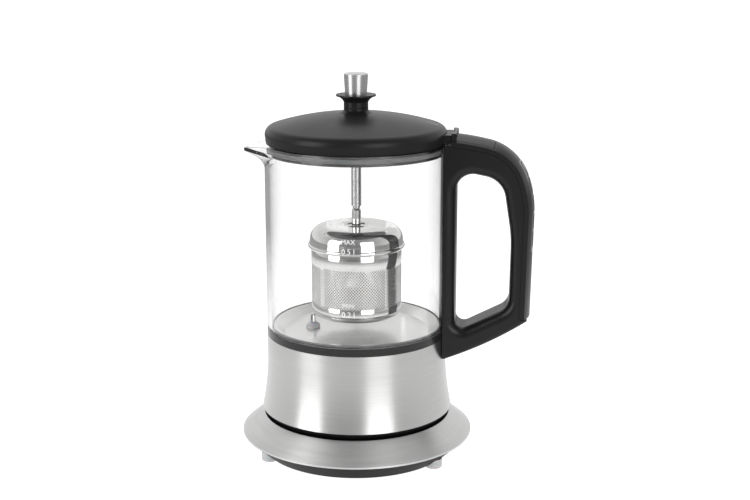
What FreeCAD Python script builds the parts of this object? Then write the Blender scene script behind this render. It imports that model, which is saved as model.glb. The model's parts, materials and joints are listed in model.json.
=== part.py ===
import FreeCAD, Part
import math
import os

import Sketcher

"""Automatic tea maker: a glass jug with a steel foot on a cordless power base, with a lift-out
lid that carries a height-adjustable infuser basket on a central rod, and a D-shaped handle that
holds the controls. Millimetres. The origin is on the jug's axis at the level of the table, +Z is
up and the handle points along +X."""

# Driving dimensions, by sub-assembly. Heights are of each piece itself, and levels add up.
SIZES = {
    # Clearances
    "running_gap": 0.3,
    "fit_gap": 0.2,
    "thread_gap": 0.15,
    # Power base
    "foot_radius": 4.85,
    "foot_height": 2.5,
    "foot_sunk": 3.0,
    "foot_circle": 55.5,
    "base_bottom_radius": 56.0,
    "base_rim_radius": 67.9,
    "base_side_height": 10.2,
    "base_rim_height": 1.0,
    "base_wall": 2.0,
    "plate_rise": 10.6,
    "plate_sheet": 1.2,
    "deck_radius": 54.5,
    "deck_thickness": 2.0,
    "base_boss_radius": 4.5,
    "base_boss_circle": 42.0,
    "housing_boss_height": 8.0,
    "post_radius": 15.0,
    "post_height": 9.0,
    "post_flange": 3.0,
    "pin_hole_radius": 3.2,
    "ring_slot_inner": 6.4,
    "ring_slot_outer": 9.6,
    "cord_hole_radius": 3.2,
    "gland_wall": 0.9,
    "gland_length": 11.0,
    "gland_level": 7.8,
    "gland_offset": 16.0,
    # Jug underside and steel sleeve
    "rest_gap": 0.3,
    "cover_foot_radius": 52.6,
    "cover_rim_radius": 55.4,
    "cover_floor": 2.4,
    "cover_step": 3.7,
    "cover_spigot_height": 4.2,
    "cover_wall": 1.8,
    "socket_wall": 3.2,
    "socket_flange": 2.4,
    "socket_depth": 11.5,
    "blade_thickness": 0.6,
    "sleeve_flare": 3.4,
    "sleeve_flare_height": 31.7,
    "sleeve_height": 44.3,
    "sleeve_sheet": 0.8,
    "jug_boss_radius": 3.5,
    "jug_boss_circle": 47.0,
    "screw_radius": 1.45,
    "screw_head_radius": 2.75,
    "screw_head_height": 1.6,
    "base_screw_length": 11.0,
    "jug_screw_length": 12.0,
    "handle_screw_length": 8.0,
    "handle_screw_spacing": 14.0,
    "handle_screw_level": 65.5,
    # Electrics inside the jug's foot
    "board_level": 44.0,
    "board_length": 62.0,
    "board_width": 32.0,
    "board_sheet": 1.6,
    "board_post_radius": 2.5,
    "relay_length": 19.0,
    "relay_width": 15.5,
    "relay_height": 11.0,
    "element_radius": 33.0,
    "element_tube_radius": 3.25,
    "element_leg": 10.0,
    "element_sweep": 312.0,
    "cutout_radius": 8.0,
    "cutout_height": 5.5,
    # Ring, seal, heater plate and glass
    "ring_height": 4.4,
    "ring_inner_radius": 47.6,
    "ring_skirt_height": 4.0,
    "seal_thickness": 0.5,
    "seal_lip": 0.9,
    "pan_floor_radius": 42.5,
    "pan_wall_radius": 47.2,
    "pan_depth": 4.3,
    "pan_sheet": 0.8,
    "spreader_radius": 40.0,
    "spreader_thickness": 2.8,
    "sensor_circle": 26.0,
    "sensor_radius": 1.5,
    "sensor_height": 8.0,
    "sensor_tail": 10.0,
    "grommet_radius": 4.3,
    "grommet_height": 4.4,
    "glass_radius": 52.5,
    "glass_wall": 2.5,
    "glass_height": 107.1,
    "spout_tip": 65.2,
    "spout_bend_radius": 11.0,
    "spout_bend_turn": 66.0,
    "spout_start_drop": 18.6,
    "spout_nose_radius": 3.6,
    "spout_lip_drop": 4.6,
    # Lid
    "lid_side_height": 4.5,
    "lid_radius": 52.1,
    "lid_skirt_radius": 51.5,
    "lid_dome_radius": 165.0,
    "lid_rise": 16.9,
    "lid_wall": 2.4,
    "lid_edge_radius": 5.0,
    "lid_rim_width": 3.0,
    "neck_radius": 7.0,
    "neck_foot_radius": 11.4,
    "neck_height": 2.8,
    "neck_cove_radius": 6.0,
    "collar_radius": 49.5,
    "collar_drop": 6.1,
    "collar_sheet": 0.8,
    "collar_tuck": 4.4,
    "lid_seal_height": 2.4,
    "bush_wall": 1.8,
    "bush_flange_radius": 8.0,
    "tab_radius": 55.9,
    "tab_width": 22.0,
    "tab_thickness": 4.8,
    # Infuser and its lift
    "rod_radius": 2.9,
    "rod_length": 71.2,
    "rod_neck_radius": 2.15,
    "rod_neck_length": 1.6,
    "rod_in_knob": 12.8,
    "stem_radius": 2.7,
    "stem_length": 9.9,
    "stem_tenon_radius": 2.2,
    "stem_tenon_length": 2.6,
    "spool_foot_height": 2.9,
    "spool_radius": 11.4,
    "spool_height": 7.1,
    "spool_cove_radius": 6.2,
    "spool_rim": 0.9,
    "knob_foot_radius": 6.2,
    "knob_top_radius": 6.9,
    "knob_height": 12.9,
    "knob_seat": 0.7,
    "cap_radius": 27.4,
    "cap_height": 12.9,
    "cap_shoulder": 4.5,
    "cap_sheet": 0.8,
    "cap_dimple_radius": 6.3,
    "cap_dimple_depth": 0.8,
    "cap_bead": 0.7,
    "vent_radius": 0.6,
    "vent_circle": 15.0,
    "basket_height": 47.0,
    "basket_sheet": 0.7,
    "basket_corner": 3.5,
    "basket_panel_bottom": 8.0,
    "basket_panel_top": 31.0,
    "basket_panel_depth": 0.25,
    # Handle
    "handle_width": 26.0,
    "handle_crown": 3.2,
    "handle_start_x": 54.2,
    "handle_start_level": 190.8,
    "handle_start_slope": 4.5,
    "handle_top_radius": 150.0,
    "handle_top_turn": 8.5,
    "handle_shoulder_radius": 31.0,
    "handle_shoulder_turn": 55.5,
    "handle_back_radius": 61.0,
    "handle_back_turn": 22.6,
    "handle_back_length": 59.5,
    "handle_seam_depth": 6.0,
    "handle_seam_gap": 0.2,
    "handle_foot_level": 60.1,
    "handle_foot_sweep": 216.0,
    "bracket_reach": 58.0,
    "finger_top_level": 169.0,
    "finger_top_radius": 9.5,
    "finger_shoulder_radius": 14.0,
    "grip_inner_x": 89.2,
    "grip_bend_radius": 80.0,
    "finger_heel_radius": 9.5,
    "finger_heel_level": 91.6,
    "finger_foot_fall": 15.8,
    "finger_toe_radius": 4.8,
    "finger_fillet": 5.4,
    "handle_foot_fillet": 3.0,
    # Handle controls
    "button_start": 3.8,
    "button_end": 25.6,
    "button_side_wall": 1.3,
    "button_thickness": 2.2,
    "button_travel": 1.5,
    "button_spring_radius": 3.0,
    "ear_height": 1.7,
    "ear_gap": 0.5,
    "panel_start": 43.0,
    "panel_end": 97.4,
    "panel_width": 15.0,
    "panel_thickness": 1.8,
    "key_first": 48.9,
    "key_pitch": 10.4,
    "key_length": 8.4,
    "key_width": 11.0,
    "key_travel": 0.5,
    "key_stem_radius": 1.5,
    "control_board_sheet": 1.2,
    "control_board_width": 11.0,
}
KEY_NAMES = ("power_key", "strength_key", "temperature_key", "keep_warm_key", "start_key")
FOOT_ANGLES = (-150.0, -30.0, 90.0)
JUG_BOSS_ANGLES = (60.0, 180.0, 300.0)
BASE_BOSS_ANGLES = (30.0, 150.0, 270.0)


class Size:
    """A length on the sheet, or a sum of such lengths, as the text that binds to it and its number."""

    def __init__(self, text, value):
        self.text = text
        self.value = value

    @staticmethod
    def of(item):
        """Makes a Size of a plain number."""
        return item if isinstance(item, Size) else Size(repr(float(item)), float(item))

    def __add__(self, other):
        other = Size.of(other)
        return Size("(" + self.text + " + " + other.text + ")", self.value + other.value)

    def __sub__(self, other):
        other = Size.of(other)
        return Size("(" + self.text + " - " + other.text + ")", self.value - other.value)

    def __mul__(self, other):
        other = Size.of(other)
        return Size("(" + self.text + " * " + other.text + ")", self.value * other.value)

    def __truediv__(self, other):
        other = Size.of(other)
        return Size("(" + self.text + " / " + other.text + ")", self.value / other.value)

    def root(self):
        """Its square root."""
        return Size("sqrt(" + self.text + ")", math.sqrt(self.value))


class Sizes:
    """The driving dimensions as attributes, each one bound to its cell."""

    def __init__(self, table):
        for name, value in table.items():
            setattr(self, name, Size("dims." + name, value))


doc = FreeCAD.newDocument("tea_maker")
sheet = doc.addObject("Spreadsheet::Sheet", "dims")
for row, (name, value) in enumerate(SIZES.items(), start=1):
    sheet.set("A" + str(row), name)
    sheet.set("B" + str(row), str(value))
    sheet.setAlias("B" + str(row), name)
doc.recompute()
d = Sizes(SIZES)
nodes = []


# Helpers for parametric bodies

def plane(body, role):
    """The body's own origin plane of that role."""
    for feature in body.Origin.OriginFeatures:
        if feature.Role == role:
            return feature
    raise RuntimeError("no plane " + role)


def new_body(label, turn=0.0):
    """A body that becomes a node, turned about the vertical axis."""
    body = doc.addObject("PartDesign::Body", label)
    body.Label = label
    body.Placement = FreeCAD.Placement(
        FreeCAD.Vector(0, 0, 0), FreeCAD.Rotation(FreeCAD.Vector(0, 0, 1), turn))
    nodes.append(body)
    return body


def new_sketch(body, name, role, level=None):
    """A sketch on one of the body's origin planes, lifted off it by a level from the sheet."""
    sketch = body.newObject("Sketcher::SketchObject", body.Name + "_" + name)
    sketch.AttachmentSupport = [(plane(body, role), "")]
    sketch.MapMode = "FlatFace"
    if level is not None:
        sketch.AttachmentOffset = FreeCAD.Placement(
            FreeCAD.Vector(0, 0, level.value), FreeCAD.Rotation())
        sketch.setExpression("AttachmentOffset.Base.z", level.text)
    return sketch


def bind(sketch, kind, geometry, point, size):
    """Fixes one coordinate of a point to a size."""
    size = Size.of(size)
    index = sketch.addConstraint(Sketcher.Constraint(kind, geometry, point, size.value))
    sketch.setExpression("Constraints[" + str(index) + "]", size.text)


def arc_centre(start, end, radius):
    """The centre of the minor arc from start to end. A positive radius bends to the left."""
    middle_x = (start[0] + end[0]) / 2
    middle_y = (start[1] + end[1]) / 2
    chord_x = end[0] - start[0]
    chord_y = end[1] - start[1]
    chord = math.hypot(chord_x, chord_y)
    rise = math.sqrt(max(radius * radius - chord * chord / 4, 0.0))
    side = 1.0 if radius > 0 else -1.0
    return middle_x - side * rise * chord_y / chord, middle_y + side * rise * chord_x / chord


def outline(sketch, path):
    """Draws a closed outline through corners (x, y). A third entry makes the side that ends at
    that corner an arc of that radius, bending left where it is positive."""
    corners = [(Size.of(step[0]), Size.of(step[1])) for step in path]
    numbers = [(x.value, y.value) for x, y in corners]
    first = sketch.GeometryCount
    starts = []
    ends = []
    for index, step in enumerate(path):
        start = numbers[index - 1]
        end = numbers[index]
        if len(step) == 2:
            geometry = sketch.addGeometry(Part.LineSegment(
                FreeCAD.Vector(start[0], start[1], 0), FreeCAD.Vector(end[0], end[1], 0)), False)
            starts.append((geometry, 1))
            ends.append((geometry, 2))
            continue
        radius = Size.of(step[2])
        centre = arc_centre(start, end, radius.value)
        first_end, last_end = (start, end) if radius.value > 0 else (end, start)
        begin = math.atan2(first_end[1] - centre[1], first_end[0] - centre[0])
        finish = math.atan2(last_end[1] - centre[1], last_end[0] - centre[0])
        circle = Part.Circle(
            FreeCAD.Vector(centre[0], centre[1], 0), FreeCAD.Vector(0, 0, 1), abs(radius.value))
        if finish < begin:
            finish += 2 * math.pi
        geometry = sketch.addGeometry(Part.ArcOfCircle(circle, begin, finish), False)
        starts.append((geometry, 1 if radius.value > 0 else 2))
        ends.append((geometry, 2 if radius.value > 0 else 1))
        size = radius if radius.value > 0 else radius * -1.0
        number = sketch.addConstraint(Sketcher.Constraint("Radius", geometry, size.value))
        sketch.setExpression("Constraints[" + str(number) + "]", size.text)
    for index, (x, y) in enumerate(corners):
        follower = starts[(index + 1) % len(path)]
        sketch.addConstraint(Sketcher.Constraint("Coincident", *ends[index], *follower))
        bind(sketch, "DistanceX", ends[index][0], ends[index][1], x)
        bind(sketch, "DistanceY", ends[index][0], ends[index][1], y)
    return first


def circle(sketch, x, y, radius):
    """Draws a circle whose centre and radius follow the sheet."""
    x = Size.of(x)
    y = Size.of(y)
    geometry = sketch.addGeometry(Part.Circle(
        FreeCAD.Vector(x.value, y.value, 0), FreeCAD.Vector(0, 0, 1), radius.value), False)
    number = sketch.addConstraint(Sketcher.Constraint("Radius", geometry, radius.value))
    sketch.setExpression("Constraints[" + str(number) + "]", radius.text)
    bind(sketch, "DistanceX", geometry, 3, x)
    bind(sketch, "DistanceY", geometry, 3, y)


def revolve(body, path, name="profile", axis_x=None):
    """Turns a half profile (radius, level) about the body's axis, or about a parallel axis_x."""
    sketch = new_sketch(body, name, "XZ_Plane")
    axis = "V_Axis"
    if axis_x is not None:
        path = [(axis_x + step[0],) + tuple(step[1:]) for step in path]
        line = sketch.addGeometry(Part.LineSegment(
            FreeCAD.Vector(axis_x.value, 0, 0), FreeCAD.Vector(axis_x.value, 1, 0)), True)
        bind(sketch, "DistanceX", line, 1, axis_x)
        bind(sketch, "DistanceY", line, 1, 0)
        bind(sketch, "DistanceX", line, 2, axis_x)
        bind(sketch, "DistanceY", line, 2, 1)
        axis = "Axis0"
    outline(sketch, path)
    feature = body.newObject("PartDesign::Revolution", body.Name + "_" + name + "_turned")
    feature.Profile = sketch
    feature.ReferenceAxis = (sketch, [axis])
    feature.Angle = 360.0
    return feature


def pad(body, name, draw, bottom, height):
    """Pads what draw puts on a level sketch upwards by a height."""
    sketch = new_sketch(body, name, "XY_Plane", bottom)
    draw(sketch)
    feature = body.newObject("PartDesign::Pad", body.Name + "_" + name + "_pad")
    feature.Profile = sketch
    feature.Length = height.value
    feature.setExpression("Length", height.text)
    return feature


def pocket_up(body, name, draw, bottom, height):
    """Cuts what draw puts on a level sketch upwards by a height."""
    sketch = new_sketch(body, name, "XY_Plane", bottom)
    draw(sketch)
    feature = body.newObject("PartDesign::Pocket", body.Name + "_" + name + "_cut")
    feature.Profile = sketch
    feature.Length = height.value
    feature.setExpression("Length", height.text)
    feature.Reversed = True
    return feature


def around(body, name, features, count):
    """Repeats features evenly about the vertical axis."""
    pattern = body.newObject("PartDesign::PolarPattern", body.Name + "_" + name + "_around")
    pattern.Originals = features
    pattern.Axis = (features[0].Profile[0], ["V_Axis" if "profile" in name else "N_Axis"])
    pattern.Angle = 360.0
    pattern.Occurrences = count
    body.Tip = pattern
    return pattern


def shape_node(label, shape):
    """A node whose solid is made with plain solid operations."""
    feature = doc.addObject("Part::Feature", label)
    feature.Label = label
    feature.Shape = shape
    nodes.append(feature)
    return feature


def mm(name):
    """A driving dimension as the sheet holds it."""
    return float(getattr(sheet, name))


# Levels of the stacked pieces

base_side_top = d.foot_height + d.base_side_height
rim_level = base_side_top + d.base_rim_height
deck_level = rim_level + d.plate_rise
deck_underside = deck_level - d.deck_thickness
jug_foot = deck_level + d.rest_gap
cover_floor_top = jug_foot + d.cover_floor
sleeve_bottom = jug_foot + d.cover_step
sleeve_top = sleeve_bottom + d.sleeve_height
ring_top = sleeve_top + d.ring_height
glass_foot = ring_top + d.seal_thickness
pan_floor_top = glass_foot + d.pan_sheet - d.pan_depth
pan_underside = pan_floor_top - d.pan_sheet
spreader_bottom = pan_underside - d.spreader_thickness
glass_rim = glass_foot + d.glass_height
lid_edge = glass_rim + d.running_gap
lid_side_top = lid_edge + d.lid_side_height
lid_apex = lid_edge + d.lid_rise
neck_top = lid_apex + d.neck_height
spool_bottom = neck_top + d.running_gap
spool_top = spool_bottom + d.spool_height
knob_bottom = spool_top - d.knob_seat
knob_top = knob_bottom + d.knob_height
rod_top = knob_bottom + d.rod_in_knob - d.fit_gap * 33
rod_bottom = rod_top - d.rod_length
cap_top = rod_bottom - d.stem_length
cap_rim = cap_top - d.cap_height
basket_radius = d.cap_radius - d.cap_sheet - d.running_gap
glass_inner = d.glass_radius - d.glass_wall


# Power base

def base_top_plate():
    """Brushed cone of sheet steel from the rim up to the well that the jug stands in."""
    inner = d.deck_radius + d.running_gap
    body = new_body("base_top_plate")
    revolve(body, [
        (inner, deck_level - d.plate_sheet),
        (d.base_rim_radius - d.plate_sheet * 1.25, rim_level),
        (d.base_rim_radius - d.plate_sheet * 1.25, base_side_top),
        (d.base_rim_radius, base_side_top),
        (d.base_rim_radius, rim_level),
        (inner, deck_level),
    ])


def base_deck():
    """Black floor of the well, with the opening for the connector and three hanging bosses."""
    body = new_body("base_deck", BASE_BOSS_ANGLES[0])
    opening = d.post_radius + d.fit_gap
    revolve(body, [
        (opening, deck_underside),
        (d.deck_radius, deck_underside),
        (d.deck_radius, deck_level),
        (opening, deck_level),
    ])
    boss_bottom = d.foot_height + d.base_wall + d.housing_boss_height
    boss = pad(body, "boss", lambda s: circle(s, d.base_boss_circle, 0, d.base_boss_radius),
               boss_bottom, deck_underside - boss_bottom)
    around(body, "bosses", [boss], len(BASE_BOSS_ANGLES))
    hole = pocket_up(body, "pilot",
                     lambda s: circle(s, d.base_boss_circle, 0, d.screw_radius + d.thread_gap),
                     boss_bottom, deck_underside - boss_bottom)
    around(body, "pilots", [hole], len(BASE_BOSS_ANGLES))


def base_housing():
    """Black tray under the base: flat floor, flared side, screw bosses, foot and gland openings."""
    body = new_body("base_housing", BASE_BOSS_ANGLES[0])
    floor_top = d.foot_height + d.base_wall
    side_radius = d.base_rim_radius - d.running_gap * 3
    revolve(body, [
        (0, d.foot_height),
        (d.base_bottom_radius, d.foot_height),
        (side_radius, base_side_top),
        (side_radius - d.base_wall, base_side_top),
        (d.base_bottom_radius - d.base_wall * 0.5, floor_top),
        (0, floor_top),
    ])
    boss = pad(body, "boss", lambda s: circle(s, d.base_boss_circle, 0, d.base_boss_radius),
               floor_top, d.housing_boss_height)
    around(body, "bosses", [boss], len(BASE_BOSS_ANGLES))
    hole = pocket_up(body, "screw",
                     lambda s: circle(s, d.base_boss_circle, 0, d.screw_radius + d.thread_gap),
                     d.foot_height, d.base_wall + d.housing_boss_height)
    around(body, "screw_holes", [hole], len(BASE_BOSS_ANGLES))
    sink = pocket_up(body, "head",
                     lambda s: circle(s, d.base_boss_circle, 0, d.screw_head_radius + d.fit_gap),
                     d.foot_height, d.screw_head_height + d.fit_gap)
    around(body, "head_sinks", [sink], len(BASE_BOSS_ANGLES))
    doc.recompute()
    nodes.remove(body)
    body.Label = "base_tray"
    top = base_side_top.value
    skin = Part.makeCone(mm("base_bottom_radius"), side_radius.value, top - mm("foot_height"),
                         FreeCAD.Vector(0, 0, mm("foot_height")))
    foot_top = mm("foot_height") + mm("foot_sunk")
    shape = body.Shape.copy()
    recesses = []
    for angle in FOOT_ANGLES:
        x = mm("foot_circle") * math.cos(math.radians(angle))
        y = mm("foot_circle") * math.sin(math.radians(angle))
        seat = Part.makeCylinder(mm("foot_radius") + 1.6, 4.0,
                                 FreeCAD.Vector(x, y, foot_top - 2.0))
        shape = shape.fuse(seat.common(skin))
        recesses.append(Part.makeCylinder(mm("foot_radius") + mm("fit_gap"), foot_top,
                                          FreeCAD.Vector(x, y, 0)))
    bore = mm("cord_hole_radius") + mm("gland_wall") + mm("fit_gap")
    recesses.append(gland_axis(bore, 45.0, 30.0))
    shape_node("base_housing", shape.cut(recesses))


def base_feet():
    """Three soft feet sunk into the housing."""
    body = new_body("base_feet", FOOT_ANGLES[1])
    foot = revolve(body, [
        (0, 0),
        (d.foot_radius - 0.6, 0),
        (d.foot_radius, 0.6),
        (d.foot_radius, d.foot_height + d.foot_sunk),
        (0, d.foot_height + d.foot_sunk),
    ], axis_x=d.foot_circle)
    around(body, "profiles", [foot], len(FOOT_ANGLES))


def screws(label, circle_radius, head_level, length, first_angle, count):
    """Pan-head screws driven upwards, evenly about the axis."""
    body = new_body(label, first_angle)
    shank_top = head_level + d.screw_head_height + length
    screw = revolve(body, [
        (0, head_level),
        (d.screw_head_radius * 0.8, head_level),
        (d.screw_head_radius, head_level + d.screw_head_height * 0.4),
        (d.screw_head_radius, head_level + d.screw_head_height),
        (d.screw_radius, head_level + d.screw_head_height),
        (d.screw_radius, shank_top),
        (0, shank_top + d.screw_radius * 0.6),
    ], axis_x=circle_radius)
    around(body, "profiles", [screw], count)


def base_connector():
    """Round cordless post with a pin hole and a ring slot, flanged under the deck."""
    body = new_body("base_connector")
    slot_floor = deck_underside - d.post_flange + 1.2
    top = deck_level + d.post_height
    revolve(body, [
        (0, deck_underside - d.post_flange),
        (d.post_radius + d.post_flange, deck_underside - d.post_flange),
        (d.post_radius + d.post_flange, deck_underside),
        (d.post_radius, deck_underside),
        (d.post_radius, top - 0.8),
        (d.post_radius - 0.8, top),
        (d.ring_slot_outer, top),
        (d.ring_slot_outer, slot_floor),
        (d.ring_slot_inner, slot_floor),
        (d.ring_slot_inner, top),
        (d.pin_hole_radius, top),
        (d.pin_hole_radius, slot_floor),
        (0, slot_floor),
    ])


def base_contacts():
    """Pin sleeve and ring contact at the bottom of the connector's hole and slot."""
    slot_floor = deck_underside - d.post_flange + 1.2
    top = deck_level + d.post_height * 0.45
    body = new_body("base_contacts")
    ring = d.ring_slot_outer - d.fit_gap
    sleeve = d.pin_hole_radius - d.fit_gap
    revolve(body, [
        (ring - d.blade_thickness, slot_floor),
        (ring, slot_floor),
        (ring, top),
        (ring - d.blade_thickness, top),
    ], "ring")
    revolve(body, [
        (sleeve - d.blade_thickness, slot_floor),
        (sleeve, slot_floor),
        (sleeve, top),
        (sleeve - d.blade_thickness, top),
    ], "sleeve")


def gland_axis(radius, start, length):
    """A bar along +Y at the gland's level."""
    place = FreeCAD.Vector(mm("gland_offset"), start, mm("gland_level"))
    return Part.makeCylinder(radius, length, place, FreeCAD.Vector(0, 1, 0))


def cord_gland():
    """Soft bush in the housing's rear wall that the mains lead passes through."""
    bore = mm("cord_hole_radius")
    outer = bore + mm("gland_wall")
    end = mm("base_rim_radius") - 5.0
    start = end - mm("gland_length")
    tube = gland_axis(outer, start, mm("gland_length"))
    tube = tube.makeChamfer(0.4, [e for e in tube.Edges if e.Curve.TypeId == "Part::GeomCircle"
                                  and abs(e.Curve.Center.y - end) < 1e-6])
    shape_node("cord_gland", tube.cut(gland_axis(bore, start - 1.0, mm("gland_length") + 2.0)))


# Jug foot

def jug_socket():
    """The jug's half of the cordless coupling, a cap that drops over the base's post."""
    body = new_body("jug_socket")
    bore = d.post_radius + d.running_gap
    outer = bore + d.socket_wall
    roof = jug_foot + d.socket_depth
    revolve(body, [
        (bore, jug_foot),
        (outer, jug_foot),
        (outer, cover_floor_top + d.running_gap),
        (outer + d.socket_flange, cover_floor_top + d.running_gap),
        (outer + d.socket_flange, cover_floor_top + d.running_gap + 2.0),
        (outer, cover_floor_top + d.running_gap + 2.0),
        (outer, roof + 2.0),
        (0, roof + 2.0),
        (0, roof),
        (bore, roof),
    ])


def socket_contacts():
    """Centre pin and ring blade that reach down into the base's hole and slot."""
    body = new_body("socket_contacts")
    roof = jug_foot + d.socket_depth
    low = deck_level + d.post_height * 0.2
    blade = (d.ring_slot_inner + d.ring_slot_outer) / 2 - 0.6
    revolve(body, [
        (0, low),
        (1.2, low),
        (1.7, low + 0.8),
        (1.7, roof),
        (0, roof),
    ], "pin")
    revolve(body, [
        (blade - d.blade_thickness, low),
        (blade, low),
        (blade, roof),
        (blade - d.blade_thickness, roof),
    ], "blade")


def jug_bottom_cover():
    """Black underside of the jug with the opening for its socket, board posts and screw holes."""
    body = new_body("jug_bottom_cover", JUG_BOSS_ANGLES[0])
    opening = d.post_radius + d.running_gap * 2 + d.socket_wall
    spigot = d.cover_rim_radius - d.cover_wall
    revolve(body, [
        (opening, jug_foot),
        (d.cover_foot_radius, jug_foot),
        (d.cover_rim_radius, jug_foot + d.cover_step - 1.0),
        (d.cover_rim_radius, sleeve_bottom),
        (spigot, sleeve_bottom),
        (spigot, sleeve_bottom + d.cover_spigot_height),
        (spigot - d.cover_wall, sleeve_bottom + d.cover_spigot_height),
        (spigot - d.cover_wall, cover_floor_top),
        (opening, cover_floor_top),
    ])
    hole = pocket_up(body, "screw",
                     lambda s: circle(s, d.jug_boss_circle, 0, d.screw_radius + d.thread_gap),
                     jug_foot, d.cover_floor)
    around(body, "screw_holes", [hole], len(JUG_BOSS_ANGLES))
    sink = pocket_up(body, "head",
                     lambda s: circle(s, d.jug_boss_circle, 0, d.screw_head_radius + d.fit_gap),
                     jug_foot, d.screw_head_height)
    around(body, "head_sinks", [sink], len(JUG_BOSS_ANGLES))
    board_turn = math.radians(-JUG_BOSS_ANGLES[0])

    def posts(sketch):
        reach_x = d.board_length * 0.44
        reach_y = d.board_width * 0.37
        for side_x in (1, -1):
            for side_y in (1, -1):
                x = reach_x * (side_x * math.cos(board_turn)) - reach_y * (
                    side_y * math.sin(board_turn))
                y = reach_x * (side_x * math.sin(board_turn)) + reach_y * (
                    side_y * math.cos(board_turn))
                circle(sketch, x, y, d.board_post_radius)

    pad(body, "posts", posts, cover_floor_top - 0.5, d.board_level - cover_floor_top + 0.5)


def steel_sleeve():
    """Brushed steel shell that flares towards its foot, with two holes for the handle screws."""
    flare_top = sleeve_bottom + d.sleeve_flare_height
    flare_radius = (d.sleeve_flare_height * d.sleeve_flare_height
                    + d.sleeve_flare * d.sleeve_flare) / (d.sleeve_flare * 2)
    outer = d.glass_radius
    inner = d.glass_radius - d.sleeve_sheet
    body = new_body("steel_sleeve")
    revolve(body, [
        (inner + d.sleeve_flare, sleeve_bottom, flare_radius),
        (outer + d.sleeve_flare, sleeve_bottom),
        (outer, flare_top, flare_radius * -1.0),
        (outer, sleeve_top),
        (inner, sleeve_top),
        (inner, flare_top),
    ])
    sketch = new_sketch(body, "screw_sketch", "YZ_Plane")
    for side in (0.5, -0.5):
        circle(sketch, d.handle_screw_spacing * side, d.handle_screw_level,
               d.screw_radius + d.fit_gap)
    holes = body.newObject("PartDesign::Pocket", "steel_sleeve_screw_holes")
    holes.Profile = sketch
    holes.Length = d.glass_radius.value * 1.2
    holes.setExpression("Length", (d.glass_radius * 1.2).text)
    holes.Reversed = True


def power_board():
    """Board on the cover's posts, with its relay and a row of terminals."""
    board = Part.makeBox(mm("board_length"), mm("board_width"), mm("board_sheet"),
                         FreeCAD.Vector(-mm("board_length") / 2, -mm("board_width") / 2,
                                        mm("board_level")))
    top = mm("board_level") + mm("board_sheet")
    relay = Part.makeBox(mm("relay_length"), mm("relay_width"), mm("relay_height"),
                         FreeCAD.Vector(mm("board_length") * 0.12, -mm("relay_width") / 2, top))
    can = Part.makeCylinder(5.0, mm("relay_height") * 0.9,
                            FreeCAD.Vector(-mm("board_length") * 0.3, mm("board_width") * 0.2, top))
    terminals = Part.makeBox(6.0, mm("board_width") * 0.5, 7.0,
                             FreeCAD.Vector(-mm("board_length") * 0.12, -mm("board_width") * 0.45,
                                            top))
    shape_node("power_board", board.fuse([relay, can, terminals]).removeSplitter())


def heating_element():
    """Element of flattened tube, bent almost to a ring under the spreader, with two legs down."""
    tube = mm("element_tube_radius")
    ring = mm("element_radius")
    level = spreader_bottom.value - tube - mm("fit_gap")
    sweep = mm("element_sweep")
    flat = tube * math.tan(math.pi / 8)
    section = [(tube, flat), (flat, tube), (-flat, tube), (-tube, flat),
               (-tube, -flat), (-flat, -tube), (flat, -tube), (tube, -flat)]
    points = [FreeCAD.Vector(ring + x, 0, level + z) for x, z in section]
    face = Part.Face(Part.makePolygon(points + points[:1]))
    bend = face.revolve(FreeCAD.Vector(0, 0, 0), FreeCAD.Vector(0, 0, 1), sweep)
    bend.rotate(FreeCAD.Vector(0, 0, 0), FreeCAD.Vector(0, 0, 1), -sweep / 2)
    legs = []
    for turn in (-sweep / 2, sweep / 2):
        leg = Part.makeBox(2 * tube, 2 * tube, mm("element_leg"),
                           FreeCAD.Vector(ring - tube, -tube, level - mm("element_leg")))
        leg.rotate(FreeCAD.Vector(0, 0, 0), FreeCAD.Vector(0, 0, 1), turn)
        legs.append(leg)
    shape_node("heating_element", bend.fuse(legs))


def dry_boil_cutout():
    """Round thermal cut-out against the spreader, with two blade terminals."""
    top = spreader_bottom.value
    height = mm("cutout_height")
    can = Part.makeCylinder(mm("cutout_radius"), height, FreeCAD.Vector(0, 0, top - height))
    blades = [Part.makeBox(0.8, 5.0, 4.5, FreeCAD.Vector(x, -2.5, top - height - 4.0))
              for x in (-4.4, 3.6)]
    shape_node("dry_boil_cutout", can.fuse(blades))


def trim_ring():
    """Black ring between sleeve and glass, with a skirt and three long screw bosses."""
    body = new_body("trim_ring", JUG_BOSS_ANGLES[0])
    skirt = d.glass_radius - d.sleeve_sheet - d.running_gap
    revolve(body, [
        (skirt - 2.2, sleeve_top - d.ring_skirt_height),
        (skirt, sleeve_top - d.ring_skirt_height),
        (skirt, sleeve_top),
        (d.glass_radius, sleeve_top),
        (d.glass_radius, ring_top),
        (d.ring_inner_radius, ring_top),
        (d.ring_inner_radius, sleeve_top),
        (skirt - 2.2, sleeve_top),
    ])
    boss = pad(body, "boss", lambda s: circle(s, d.jug_boss_circle, 0, d.jug_boss_radius),
               cover_floor_top, sleeve_top - cover_floor_top - 0.6)
    around(body, "bosses", [boss], len(JUG_BOSS_ANGLES))
    hole = pocket_up(body, "pilot",
                     lambda s: circle(s, d.jug_boss_circle, 0, d.screw_radius + d.thread_gap),
                     cover_floor_top, d.jug_screw_length + 2.0)
    around(body, "pilots", [hole], len(JUG_BOSS_ANGLES))


def glass_seal():
    """Silicone ring under the glass and the pan's flange, with a lip between the two."""
    body = new_body("glass_seal")
    lip = glass_inner - d.fit_gap
    revolve(body, [
        (d.ring_inner_radius, ring_top),
        (d.glass_radius - 0.4, ring_top),
        (d.glass_radius - 0.4, glass_foot),
        (lip, glass_foot),
        (lip, glass_foot + d.seal_thickness + 0.6),
        (lip - d.seal_lip, glass_foot + d.seal_thickness + 0.6),
        (lip - d.seal_lip, glass_foot),
        (d.ring_inner_radius, glass_foot),
    ])


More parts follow.
